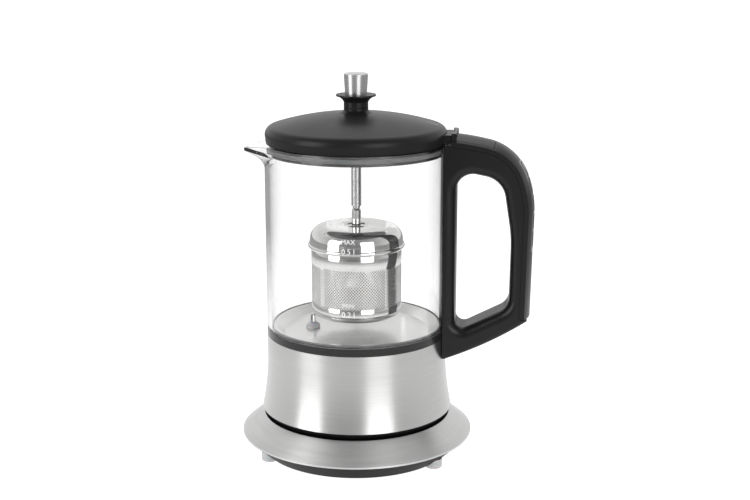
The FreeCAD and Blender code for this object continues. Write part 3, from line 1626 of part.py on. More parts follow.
def check():
    """Stops on any failed feature or broken solid before a file is written."""
    doc.recompute()
    for feature in doc.Objects:
        for state in ("Invalid", "Error"):
            if state in feature.State:
                raise RuntimeError(feature.Label + " failed: " + str(feature.State))
    for node in nodes:
        if node.Shape.isNull() or not node.Shape.isValid() or not node.Shape.Solids:
            raise RuntimeError(node.Label + " has no valid solid")


def write():
    """Writes one file for each node."""
    os.makedirs("parts", exist_ok=True)
    for node in nodes:
        node.Shape.exportStep("parts/" + node.Label + ".step")
        print(node.Label, len(node.Shape.Solids), round(node.Shape.Volume / 1000, 3))


build()
check()
write()
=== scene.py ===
"""Looks of an automatic tea maker: brushed steel foot and power base, clear glass jug with a spout,
satin black lid and handle, and a perforated steel infuser hung on a lifting rod."""
from __future__ import annotations

import json
import logging
import math
from dataclasses import dataclass
from enum import Enum
from typing import Iterable

import bmesh
import bpy
from mathutils import Matrix, Vector

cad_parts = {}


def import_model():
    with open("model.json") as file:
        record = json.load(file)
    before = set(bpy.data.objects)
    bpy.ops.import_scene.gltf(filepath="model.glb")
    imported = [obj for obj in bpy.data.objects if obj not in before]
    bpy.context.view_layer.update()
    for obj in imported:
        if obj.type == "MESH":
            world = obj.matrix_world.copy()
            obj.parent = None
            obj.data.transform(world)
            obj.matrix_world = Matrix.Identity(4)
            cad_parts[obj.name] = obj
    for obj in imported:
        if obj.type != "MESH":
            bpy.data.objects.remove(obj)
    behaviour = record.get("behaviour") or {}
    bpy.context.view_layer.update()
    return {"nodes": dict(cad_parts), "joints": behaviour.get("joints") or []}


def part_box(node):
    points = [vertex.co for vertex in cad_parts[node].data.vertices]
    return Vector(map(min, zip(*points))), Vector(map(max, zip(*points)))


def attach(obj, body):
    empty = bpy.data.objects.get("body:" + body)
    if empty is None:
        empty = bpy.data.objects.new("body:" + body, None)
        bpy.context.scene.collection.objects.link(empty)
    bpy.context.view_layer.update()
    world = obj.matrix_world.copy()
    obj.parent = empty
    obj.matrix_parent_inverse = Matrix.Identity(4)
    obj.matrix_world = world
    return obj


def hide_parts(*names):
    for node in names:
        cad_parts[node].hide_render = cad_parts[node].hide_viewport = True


LOG = logging.getLogger("tea_maker")
MM = 0.001
SMOOTH_ANGLE = 35.0
LETTER_SCALE = 1.35
LETTER_STEPS = 3

# Places of a Mix node's sockets when it mixes colours
MIX_SHARE = 0
MIX_DARK = 6
MIX_LIGHT = 7
MIX_RESULT = 2

Colour = tuple[float, float, float]
Socket = bpy.types.NodeSocket


class Body(Enum):
    """The moving bodies that pieces ride on."""

    BASE = "base"
    JUG = "jug"
    LID = "lid"
    INFUSER = "infuser"


class Slot(Enum):
    """Names of the record's material slots, listed for the new pieces; the script gives them to no
    piece.
    """

    BASKET = "basket_steel"
    PRINT = "panel_black"
    GLASS_PRINT = "clear_glass"
    LID_PRINT = "satin_black"
    CAP = "polished_steel"
    SILICONE = "grey_silicone"
    SEAM = "handle_black"


# Shared shader groups

class Graph:
    """A node tree with short calls that add and join its nodes."""

    def __init__(self, tree: bpy.types.NodeTree) -> None:
        """Keeps the tree.

        Args:
            tree: The material's or group's node tree.
        """
        self.tree = tree

    def add(self, kind: str, **settings: object) -> bpy.types.Node:
        """Adds a node.

        Args:
            kind: The node's class name.
            settings: Properties of the node to set.

        Returns:
            The new node.
        """
        node = self.tree.nodes.new(kind)
        for name, value in settings.items():
            setattr(node, name, value)
        return node

    def join(self, source: Socket, target: Socket) -> None:
        """Links two sockets."""
        self.tree.links.new(source, target)

    def math(self, operation: str, first: Socket | float, second: Socket | float = 0.0) -> Socket:
        """Adds a Math node.

        Args:
            operation: The operation's name.
            first: A socket or a number.
            second: A socket or a number.

        Returns:
            The node's result.
        """
        node = self.add("ShaderNodeMath", operation=operation)
        for place, item in enumerate((first, second)):
            if isinstance(item, (int, float)):
                node.inputs[place].default_value = item
            else:
                self.join(item, node.inputs[place])
        return node.outputs[0]

    def spread(self, source: Socket, low: float, high: float) -> Socket:
        """Maps a value from 0 to 1 onto a range.

        Args:
            source: The value.
            low: The result at 0.
            high: The result at 1.

        Returns:
            The mapped value.
        """
        node = self.add("ShaderNodeMapRange")
        node.inputs["To Min"].default_value = low
        node.inputs["To Max"].default_value = high
        self.join(source, node.inputs["Value"])
        return node.outputs["Result"]

    def tint(self, source: Socket, dark: Colour, light: Colour) -> Socket:
        """Turns a value from 0 to 1 into a colour between two.

        Args:
            source: The value.
            dark: The colour at 0.
            light: The colour at 1.

        Returns:
            The colour.
        """
        node = self.add("ShaderNodeMix", data_type="RGBA")
        node.inputs[MIX_DARK].default_value = (*dark, 1.0)
        node.inputs[MIX_LIGHT].default_value = (*light, 1.0)
        self.join(source, node.inputs[MIX_SHARE])
        return node.outputs[MIX_RESULT]


def new_group(name: str, inputs: dict[str, float]) -> tuple[Graph, bpy.types.Node, Socket]:
    """Starts a shader group with a Vector input, number inputs and one Value output.

    Args:
        name: The group's name.
        inputs: Names and default values of its number inputs.

    Returns:
        Its graph, its input node and the socket that takes its result.
    """
    tree = bpy.data.node_groups.new(name, "ShaderNodeTree")
    tree.interface.new_socket("Vector", in_out="INPUT", socket_type="NodeSocketVector")
    for label, value in inputs.items():
        socket = tree.interface.new_socket(label, in_out="INPUT", socket_type="NodeSocketFloat")
        socket.default_value = value
    tree.interface.new_socket("Value", in_out="OUTPUT", socket_type="NodeSocketFloat")
    graph = Graph(tree)
    source = graph.add("NodeGroupInput")
    target = graph.add("NodeGroupOutput")
    return graph, source, target.inputs["Value"]


def turned_grain() -> bpy.types.NodeTree:
    """Builds the grain of metal that was brushed while it turned about the upright axis.

    Returns:
        The group: fine lines that run round the axis, on walls, cones and flats alike.
    """
    found = bpy.data.node_groups.get("turned_grain")
    if found:
        return found
    graph, source, result = new_group("turned_grain", {"Along": 30.0, "Across": 2500.0})
    split = graph.add("ShaderNodeSeparateXYZ")
    graph.join(source.outputs["Vector"], split.inputs[0])
    x, y, z = split.outputs
    radius = graph.math("SQRT", graph.math("ADD", graph.math("MULTIPLY", x, x),
                                           graph.math("MULTIPLY", y, y)))
    across = graph.math("MULTIPLY", graph.math("ADD", radius, z), source.outputs["Across"])
    joined = graph.add("ShaderNodeCombineXYZ")
    graph.join(graph.math("MULTIPLY", x, source.outputs["Along"]), joined.inputs[0])
    graph.join(graph.math("MULTIPLY", y, source.outputs["Along"]), joined.inputs[1])
    graph.join(across, joined.inputs[2])
    noise = graph.add("ShaderNodeTexNoise")
    noise.inputs["Scale"].default_value = 1.0
    noise.inputs["Detail"].default_value = 4.0
    noise.inputs["Roughness"].default_value = 0.65
    graph.join(joined.outputs[0], noise.inputs["Vector"])
    graph.join(noise.outputs[0], result)
    return graph.tree


def moulded_texture() -> bpy.types.NodeTree:
    """Builds the spark-eroded texture of moulded plastic.

    Returns:
        The group: a fine, even roughness in height.
    """
    found = bpy.data.node_groups.get("moulded_texture")
    if found:
        return found
    graph, source, result = new_group("moulded_texture", {"Fineness": 2600.0})
    noise = graph.add("ShaderNodeTexNoise")
    noise.inputs["Detail"].default_value = 3.0
    graph.join(source.outputs["Vector"], noise.inputs["Vector"])
    graph.join(source.outputs["Fineness"], noise.inputs["Scale"])
    graph.join(noise.outputs[0], result)
    return graph.tree


def handling_marks() -> bpy.types.NodeTree:
    """Builds the broad, soft unevenness that hands and cloths leave.

    Returns:
        The group: a mask of smudges.
    """
    found = bpy.data.node_groups.get("handling_marks")
    if found:
        return found
    graph, source, result = new_group("handling_marks", {"Size": 22.0})
    broad = graph.add("ShaderNodeTexNoise")
    broad.inputs["Detail"].default_value = 5.0
    broad.inputs["Distortion"].default_value = 0.6
    graph.join(source.outputs["Vector"], broad.inputs["Vector"])
    graph.join(source.outputs["Size"], broad.inputs["Scale"])
    graph.join(graph.spread(broad.outputs[0], -0.4, 1.4), result)
    return graph.tree


# Finishes

class Paint:
    """A material under way: its graph, its shader and its coordinates."""

    def __init__(self, name: str) -> None:
        """Makes an empty material.

        Args:
            name: The material's name.
        """
        self.material = bpy.data.materials.new(name)
        self.material.use_nodes = True
        self.graph = Graph(self.material.node_tree)
        self.shader = self.material.node_tree.nodes["Principled BSDF"]
        self.place = self.graph.add("ShaderNodeTexCoord").outputs["Object"]

    def group(self, tree: bpy.types.NodeTree, **values: float) -> Socket:
        """Places a shared group.

        Args:
            tree: The group.
            values: Its number inputs.

        Returns:
            Its value.
        """
        node = self.graph.add("ShaderNodeGroup", node_tree=tree)
        for name, value in values.items():
            node.inputs[name].default_value = value
        self.graph.join(self.place, node.inputs["Vector"])
        return node.outputs["Value"]

    def set(self, **values: float | tuple[float, ...]) -> None:
        """Sets plain numbers on the shader, with underscores for the spaces of socket names."""
        for name, value in values.items():
            self.shader.inputs[name.replace("_", " ")].default_value = value

    def feed(self, name: str, source: Socket) -> None:
        """Links a source to one of the shader's sockets."""
        self.graph.join(source, self.shader.inputs[name])

    def bump(self, height: Socket, depth: float, strength: float) -> None:
        """Raises the surface by a value.

        Args:
            height: The value, from 0 to 1.
            depth: The height of 1 in metres.
            strength: How much of it shows.
        """
        node = self.graph.add("ShaderNodeBump")
        node.inputs["Distance"].default_value = depth
        node.inputs["Strength"].default_value = strength
        self.graph.join(height, node.inputs["Height"])
        self.feed("Normal", node.outputs[0])


@dataclass(frozen=True)
class BrushedMetal:
    """Metal brushed round the upright axis."""

    name: str
    dark: Colour
    light: Colour
    smooth: float
    rough: float
    across: float = 2600.0
    along: float = 26.0
    depth: float = 0.000012
    relief: float = 0.35
    anisotropy: float = 0.6
    wear: tuple[float, float] = (-0.02, 0.03)

    def material(self) -> bpy.types.Material:
        """Builds the material."""
        paint = Paint(self.name)
        grain = paint.group(turned_grain(), Along=self.along, Across=self.across)
        marks = paint.group(handling_marks(), Size=18.0)
        paint.set(Metallic=1.0, Anisotropic=self.anisotropy, Anisotropic_Rotation=0.25)
        paint.feed("Base Color", paint.graph.tint(grain, self.dark, self.light))
        worn = paint.graph.math("ADD", paint.graph.spread(grain, self.smooth, self.rough),
                                paint.graph.spread(marks, *self.wear))
        paint.feed("Roughness", worn)
        paint.bump(grain, self.depth, self.relief)
        return paint.material


@dataclass(frozen=True)
class PolishedMetal:
    """Mirror-like metal with faint polishing lines and smudges."""

    name: str
    colour: Colour
    roughness: float = 0.06
    smudge: float = 0.93
    wiped: float = 0.6
    fingered: float = 1.6
    depth: float = 0.000002
    relief: float = 0.12

    def material(self) -> bpy.types.Material:
        """Builds the material."""
        paint = Paint(self.name)
        grain = paint.group(turned_grain(), Along=60.0, Across=1800.0)
        marks = paint.group(handling_marks(), Size=60.0)
        paint.set(Metallic=1.0)
        shade = tuple(part * self.smudge for part in self.colour)
        paint.feed("Base Color", paint.graph.tint(marks, shade, self.colour))
        paint.feed("Roughness", paint.graph.spread(marks, self.roughness * self.wiped,
                                                   self.roughness * self.fingered))
        paint.bump(grain, self.depth, self.relief)
        return paint.material


@dataclass(frozen=True)
class MouldedPlastic:
    """Moulded plastic with a fine texture, handled here and there."""

    name: str
    colour: Colour
    roughness: float
    fineness: float = 2600.0
    depth: float = 0.00003
    strength: float = 0.18
    coat: float = 0.0
    shine: float = 0.25
    lighten: float = 1.25
    dust: float = 0.001
    wear: tuple[float, float] = (-0.04, 0.05)

    def material(self) -> bpy.types.Material:
        """Builds the material."""
        paint = Paint(self.name)
        texture = paint.group(moulded_texture(), Fineness=self.fineness)
        marks = paint.group(handling_marks(), Size=26.0)
        lighter = tuple(part * self.lighten + self.dust for part in self.colour)
        paint.set(Coat_Weight=self.coat, Coat_Roughness=0.08, Specular_IOR_Level=self.shine)
        paint.feed("Base Color", paint.graph.tint(marks, self.colour, lighter))
        paint.feed("Roughness", paint.graph.spread(marks, self.roughness + self.wear[0],
                                                   self.roughness + self.wear[1]))
        paint.bump(texture, self.depth, self.strength)
        return paint.material


@dataclass(frozen=True)
class SoftRubber:
    """Rubber or silicone with a dull, dusty skin."""

    name: str
    colour: Colour
    roughness: float = 0.62
    clearness: float = 0.0
    scatter: float = 0.003
    depth: float = 0.00002
    relief: float = 0.15
    lighten: float = 1.2
    dust: float = 0.01
    wear: tuple[float, float] = (-0.06, 0.08)

    def material(self) -> bpy.types.Material:
        """Builds the material."""
        paint = Paint(self.name)
        texture = paint.group(moulded_texture(), Fineness=1500.0)
        marks = paint.group(handling_marks(), Size=120.0)
        dusty = tuple(part * self.lighten + self.dust for part in self.colour)
        paint.set(Subsurface_Weight=self.clearness, Subsurface_Scale=self.scatter)
        paint.feed("Base Color", paint.graph.tint(marks, self.colour, dusty))
        paint.feed("Roughness", paint.graph.spread(texture, self.roughness + self.wear[0],
                                                   self.roughness + self.wear[1]))
        paint.bump(texture, self.depth, self.relief)
        return paint.material


@dataclass(frozen=True)
class ClearGlass:
    """Blown borosilicate glass, very slightly wavy, greyer where it is seen edge on."""

    name: str
    face: Colour = (0.985, 0.985, 0.985)
    edge: Colour = (0.5, 0.52, 0.52)
    edge_power: float = 4.0
    haze: float = 0.008
    depth: float = 0.00004
    relief: float = 0.05

    def material(self) -> bpy.types.Material:
        """Builds the material."""
        paint = Paint(self.name)
        waves = paint.group(handling_marks(), Size=14.0)
        paint.set(Transmission_Weight=1.0, IOR=1.47)
        slant = paint.graph.add("ShaderNodeLayerWeight").outputs["Facing"]
        rim = paint.graph.math("POWER", slant, self.edge_power)
        paint.feed("Base Color", paint.graph.tint(rim, self.face, self.edge))
        paint.feed("Roughness", paint.graph.spread(waves, 0.0, self.haze))
        paint.bump(waves, self.depth, self.relief)
        return paint.material


@dataclass(frozen=True)
class PrintedMark:
    """Screen-printed ink with a slightly grainy cover."""

    name: str
    colour: Colour
    thin: float = 0.85

    def material(self) -> bpy.types.Material:
        """Builds the material."""
        paint = Paint(self.name)
        grain = paint.group(moulded_texture(), Fineness=3500.0)
        shade = tuple(part * self.thin for part in self.colour)
        paint.feed("Base Color", paint.graph.tint(grain, shade, self.colour))
        paint.set(Roughness=0.5)
        return paint.material


Finish = BrushedMetal | PolishedMetal | MouldedPlastic | SoftRubber | ClearGlass | PrintedMark

FINISHES: dict[str, Finish] = {finish.name: finish for finish in (
    BrushedMetal("sleeve_steel", (0.42, 0.42, 0.415), (0.57, 0.57, 0.565), 0.26, 0.36,
                 anisotropy=0.8),
    BrushedMetal("plate_steel", (0.48, 0.48, 0.475), (0.66, 0.66, 0.655), 0.28, 0.38,
                 anisotropy=0.7),
    BrushedMetal("pan_steel", (0.70, 0.70, 0.69), (0.82, 0.82, 0.81), 0.24, 0.34, across=3200.0),
    BrushedMetal("rod_steel", (0.52, 0.52, 0.52), (0.58, 0.58, 0.58), 0.24, 0.29, across=6000.0,
                 depth=0.000003),
    BrushedMetal("basket_steel", (0.78, 0.78, 0.77), (0.88, 0.88, 0.87), 0.2, 0.3, along=60.0,
                 depth=0.000004),
    PolishedMetal("polished_steel", (0.74, 0.74, 0.73)),
    # Painted reflection: the collar's polished steel is darkened to 0.15 to stand for the dark lid
    # and room it reflects.
    PolishedMetal("collar_steel_painted_reflection", (0.15, 0.15, 0.15), 0.08),
    # Painted shade: a much darker copy of steel for the basket's inner side and the walls of its
    # holes.
    PolishedMetal("inside_steel_painted_shade", (0.12, 0.115, 0.11), 0.3),
    PolishedMetal("screw_steel", (0.55, 0.55, 0.55), 0.22),
    PolishedMetal("brass", (0.78, 0.57, 0.24), 0.2),
    PolishedMetal("aluminium", (0.80, 0.80, 0.80), 0.3),
    MouldedPlastic("lid_black", (0.008, 0.008, 0.008), 0.34, fineness=3200.0, strength=0.22,
                   shine=0.17),
    MouldedPlastic("handle_black", (0.006, 0.006, 0.006), 0.3, fineness=2800.0, strength=0.2),
    MouldedPlastic("button_black", (0.009, 0.009, 0.010), 0.34, fineness=3400.0, strength=0.12),
    MouldedPlastic("panel_gloss", (0.006, 0.006, 0.007), 0.2, strength=0.05, coat=0.6),
    MouldedPlastic("foot_black", (0.004, 0.004, 0.004), 0.42, shine=0.05),
    MouldedPlastic("ring_black", (0.006, 0.006, 0.006), 0.24, shine=0.4, strength=0.08),
    MouldedPlastic("cream_plastic", (0.60, 0.55, 0.44), 0.5),
    MouldedPlastic("board_resin", (0.02, 0.13, 0.06), 0.3, coat=0.4),
    SoftRubber("black_rubber", (0.02, 0.02, 0.02)),
    SoftRubber("grey_silicone", (0.20, 0.20, 0.20), 0.5, 0.1),
    SoftRubber("white_silicone", (0.62, 0.62, 0.61), 0.4, 0.3),
    SoftRubber("foot_rubber", (0.40, 0.41, 0.42), 0.4, 0.4),
    ClearGlass("clear_glass"),
    PrintedMark("white_print", (0.85, 0.85, 0.85)),
    PrintedMark("grey_print", (0.30, 0.30, 0.30)),
)}


class Finisher:
    """Gives materials out, each built once."""

    def __init__(self) -> None:
        """Starts with none built."""
        self.built: dict[str, bpy.types.Material] = {}

    def get(self, name: str) -> bpy.types.Material:
        """Returns the named finish's material."""
        if name not in self.built:
            self.built[name] = FINISHES[name].material()
        return self.built[name]

    def dress(self, nodes: dict[str, bpy.types.Object], table: dict[str, str]) -> None:
        """Gives nodes of the frame their finishes.

        Args:
            nodes: The frame's nodes by name.
            table: The finish of each node.
        """
        for node, finish in table.items():
            for place in nodes[node].material_slots:
                place.material = self.get(finish)
            LOG.info("%s is finished in %s", node, finish)


# Mesh helpers

def piece_from(mesh: bmesh.types.BMesh, name: str, material: bpy.types.Material,
               body: Body | str) -> bpy.types.Object:
    """Makes a finished piece from a bmesh.

    Args:
        mesh: The bmesh, which is freed.
        name: The piece's name.
        material: Its material.
        body: The body that it rides on.

    Returns:
        The new object.
    """
    limit = math.radians(SMOOTH_ANGLE)
    for edge in mesh.edges:
        edge.smooth = len(edge.link_faces) != 2 or edge.calc_face_angle(0.0) < limit
    for face in mesh.faces:
        face.smooth = True
    data = bpy.data.meshes.new(name)
    mesh.to_mesh(data)
    mesh.free()
    data.materials.append(material)
    piece = bpy.data.objects.new(name, data)
    bpy.context.scene.collection.objects.link(piece)
    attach(piece, body.value if isinstance(body, Body) else body)
    LOG.info("%s has %d faces", name, len(data.polygons))
    return piece


def chain(mesh: bmesh.types.BMesh, points: Iterable[tuple[float, float]]) -> list:
    """Adds a run of joined points in the XZ plane.

    Args:
        mesh: The bmesh.
        points: Radius and height of each point.

    Returns:
        The new vertices and edges.
    """
    corners = [mesh.verts.new((radius, 0.0, height)) for radius, height in points]
    edges = [mesh.edges.new(pair) for pair in zip(corners, corners[1:])]
    return [*corners, *edges]


def spin_full(mesh: bmesh.types.BMesh, geometry: list, steps: int) -> None:
    """Spins geometry once round the upright axis.

    Args:
        mesh: The bmesh.
        geometry: The vertices and edges to spin.
        steps: How many steps make the turn.
    """
    bmesh.ops.spin(mesh, geom=geometry, cent=(0, 0, 0), axis=(0, 0, 1), dvec=(0, 0, 0),
                   angle=math.tau, steps=steps, use_merge=True, use_normal_flip=False,
                   use_duplicate=False)


def punch(mesh: bmesh.types.BMesh, cells: list, margin: float, corner: float,
          radius: float) -> None:
    """Turns cells of a mesh into round holes.

    Args:
        mesh: The bmesh.
        cells: The four-sided faces to open.
        margin: How far the hole's frame stays inside its cell.
        corner: How much is cut off the frame's corners.
        radius: The hole's radius.
    """
    bmesh.ops.inset_individual(mesh, faces=cells, thickness=margin, depth=0.0)
    corners = [corner_point for cell in cells for corner_point in cell.verts]
    bmesh.ops.bevel(mesh, geom=corners, offset=corner, offset_type="OFFSET", segments=1,
                    profile=0.5, affect="VERTICES", material=-1)
    sides_once_cut = 8
    openings = [face for face in mesh.faces if len(face.verts) == sides_once_cut]
    for face in openings:
        middle = face.calc_center_median()
        for point in face.verts:
            point.co = middle + (point.co - middle).normalized() * radius
    bmesh.ops.delete(mesh, geom=openings, context="FACES_ONLY")


def arc_points(centre: tuple[float, float], radius: float, start: float, end: float,
               steps: int) -> list[tuple[float, float]]:
    """Lists points on an arc in the XZ plane, without its first.

    Args:
        centre: Radius and height of its centre.
        radius: Its radius.
        start: Its first angle in degrees, from the outward direction.
        end: Its last angle.
        steps: How many points.

    Returns:
        Radius and height of each point.
    """
    angles = [math.radians(start + (end - start) * step / steps) for step in range(1, steps + 1)]
    return [(centre[0] + radius * math.cos(angle), centre[1] + radius * math.sin(angle))
            for angle in angles]


def text_mesh(words: str, height: float) -> bmesh.types.BMesh:
    """Makes flat letters in the XY plane, centred on the origin.

    Args:
        words: What they say.
        height: Their height in metres.

    Returns:
        A bmesh of them.
    """
    curve = bpy.data.curves.new("letters", "FONT")
    curve.body = words
    curve.size = height * LETTER_SCALE
    curve.align_x = "CENTER"
    curve.align_y = "CENTER"
    curve.resolution_u = LETTER_STEPS
    holder = bpy.data.objects.new("letters", curve)
    bpy.context.scene.collection.objects.link(holder)
    bpy.context.view_layer.update()
    flat = bpy.data.meshes.new_from_object(holder)
    mesh = bmesh.new()
    mesh.from_mesh(flat)
    bpy.data.objects.remove(holder)
    bpy.data.curves.remove(curve)
    bpy.data.meshes.remove(flat)
    return mesh


def thicken(piece: bpy.types.Object, thickness: float, inside: int = 0) -> None:
    """Gives a sheet its wall, on the inner side.

    Args:
        piece: The sheet.
        thickness: The wall in metres.
        inside: How many material slots further on the inner side's finish is.
    """
    wall = piece.modifiers.new("wall", "SOLIDIFY")
    wall.thickness = thickness
    wall.offset = -1.0
    wall.material_offset = inside
    wall.material_offset_rim = inside


# Sub-assemblies

@dataclass
class Base:
    """The power base: brushed cone, black deck and post, grey feet."""

    finishes: Finisher

    def dress(self, nodes: dict[str, bpy.types.Object]) -> None:
        """Finishes the base's nodes."""
        self.finishes.dress(nodes, {
            "base_top_plate": "plate_steel", "base_deck": "foot_black",
            "base_housing": "foot_black", "base_feet": "foot_rubber",
            "base_screws": "screw_steel", "base_connector": "foot_black",
            "base_contacts": "brass", "cord_gland": "black_rubber",
        })


@dataclass
class JugFoot:
    """The jug's steel foot with what heats it."""

    finishes: Finisher
    sensor_place: float = -26.0 * MM
    flange_radius: float = 4.1 * MM
    flange_low: float = 73.6 * MM
    flange_top: float = 76.0 * MM
    collar_radius: float = 2.2 * MM
    collar_top: float = 77.2 * MM
    collar_slope: float = 0.2 * MM
    pin_radius: float = 1.5 * MM
    edge: float = 0.7 * MM
    edge_steps: int = 5
    turn_steps: int = 40
    weld: float = 0.01 * MM

    def dress(self, nodes: dict[str, bpy.types.Object]) -> None:
        """Finishes the foot's nodes."""
        self.finishes.dress(nodes, {
            "jug_socket": "foot_black", "socket_contacts": "brass",
            "jug_bottom_cover": "foot_black", "jug_screws": "screw_steel",
            "steel_sleeve": "sleeve_steel", "power_board": "board_resin",
            "heating_element": "screw_steel", "dry_boil_cutout": "cream_plastic",
            "trim_ring": "ring_black", "glass_seal": "grey_silicone",
            "heater_plate": "pan_steel", "heat_spreader": "aluminium",
            "sensor_pin": "polished_steel", "sensor_grommet": "white_silicone",
        })

    def build(self) -> None:
        """Builds the flat silicone flange that the sensor stands in."""
        edge = self.edge
        profile = [(self.flange_radius, self.flange_low),
                   (self.flange_radius, self.flange_top - edge)]
        profile += arc_points((self.flange_radius - edge, self.flange_top - edge), edge, 0.0,
                              90.0, self.edge_steps)
        profile += [(self.collar_radius + edge, self.flange_top),
                    (self.collar_radius, self.flange_top + edge),
                    (self.collar_radius, self.collar_top),
                    (self.pin_radius, self.collar_top + self.collar_slope),
                    (self.pin_radius, self.flange_low)]
        mesh = bmesh.new()
        spin_full(mesh, chain(mesh, [*profile, profile[0]]), self.turn_steps)
        bmesh.ops.remove_doubles(mesh, verts=mesh.verts, dist=self.weld)
        bmesh.ops.translate(mesh, verts=mesh.verts, vec=(self.sensor_place, 0.0, 0.0))
        bmesh.ops.recalc_face_normals(mesh, faces=mesh.faces)
        flange = piece_from(mesh, "sensor_flange", self.finishes.get("white_silicone"),
                            Body.JUG)
        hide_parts("sensor_grommet")


@dataclass(frozen=True)
class Mark:
    """A word printed on the glass."""

    words: str
    level: float
    height: float


@dataclass
class GlassJug:
    """The glass wall with its printed level marks."""

    finishes: Finisher
    mark_gap: float = 0.06 * MM
    mark_turn: float = -88.0
    marks: tuple[Mark, ...] = (
        Mark("MAX", 137.9 * MM, 2.7 * MM), Mark("0.5 l", 132.5 * MM, 3.2 * MM),
        Mark("MIN", 102.0 * MM, 2.7 * MM), Mark("0.2 l", 96.9 * MM, 3.2 * MM))

    def dress(self, nodes: dict[str, bpy.types.Object]) -> None:
        """Finishes the glass."""
        self.finishes.dress(nodes, {"glass_body": "clear_glass"})

    def build(self) -> None:
        """Builds the level marks, wrapped round the front of the glass."""
        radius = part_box("glass_body")[1][0] + self.mark_gap
        for mark in self.marks:
            letters = text_mesh(mark.words, mark.height)
            for corner in letters.verts:
                angle = corner.co.x / radius + math.radians(self.mark_turn)
                corner.co = Vector((radius * math.cos(angle), radius * math.sin(angle),
                                    mark.level + corner.co.y))
            name = "level_" + "".join(part for part in mark.words if part.isalnum())
            piece_from(letters, name, self.finishes.get("white_print"), Body.JUG)


@dataclass
class Lid:
    """The lid with the mark that is turned towards the handle."""

    finishes: Finisher
    dome_radius: float = 165.0 * MM
    mark_inner: float = 40.0 * MM
    mark_outer: float = 47.0 * MM
    mark_width: float = 1.8 * MM
    mark_gap: float = 0.06 * MM
    mark_steps: int = 8
    neck_height: float = 2.8 * MM

    def dress(self, nodes: dict[str, bpy.types.Object]) -> None:
        """Finishes the lid's nodes."""
        self.finishes.dress(nodes, {
            # The collar takes the darkened steel whose colour paints in its dark reflection.
            "lid_cover": "lid_black", "lid_collar": "collar_steel_painted_reflection",
            "lid_seal": "grey_silicone", "lid_bush": "foot_black",
        })

    def build(self) -> None:
        """Builds the alignment mark."""
        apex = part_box("lid_cover")[1][2] - self.neck_height
        mark = bmesh.new()
        bmesh.ops.create_grid(mark, x_segments=self.mark_steps, y_segments=1, size=0.5)
        for corner in mark.verts:
            share = corner.co.x + 0.5
            x = self.mark_inner + (self.mark_outer - self.mark_inner) * share
            y = corner.co.y * self.mark_width
            drop = self.dome_radius - math.sqrt(self.dome_radius ** 2 - x * x - y * y)
            corner.co = Vector((x, y, apex - drop + self.mark_gap))
        piece_from(mark, "lid_mark", self.finishes.get("grey_print"), Body.LID)


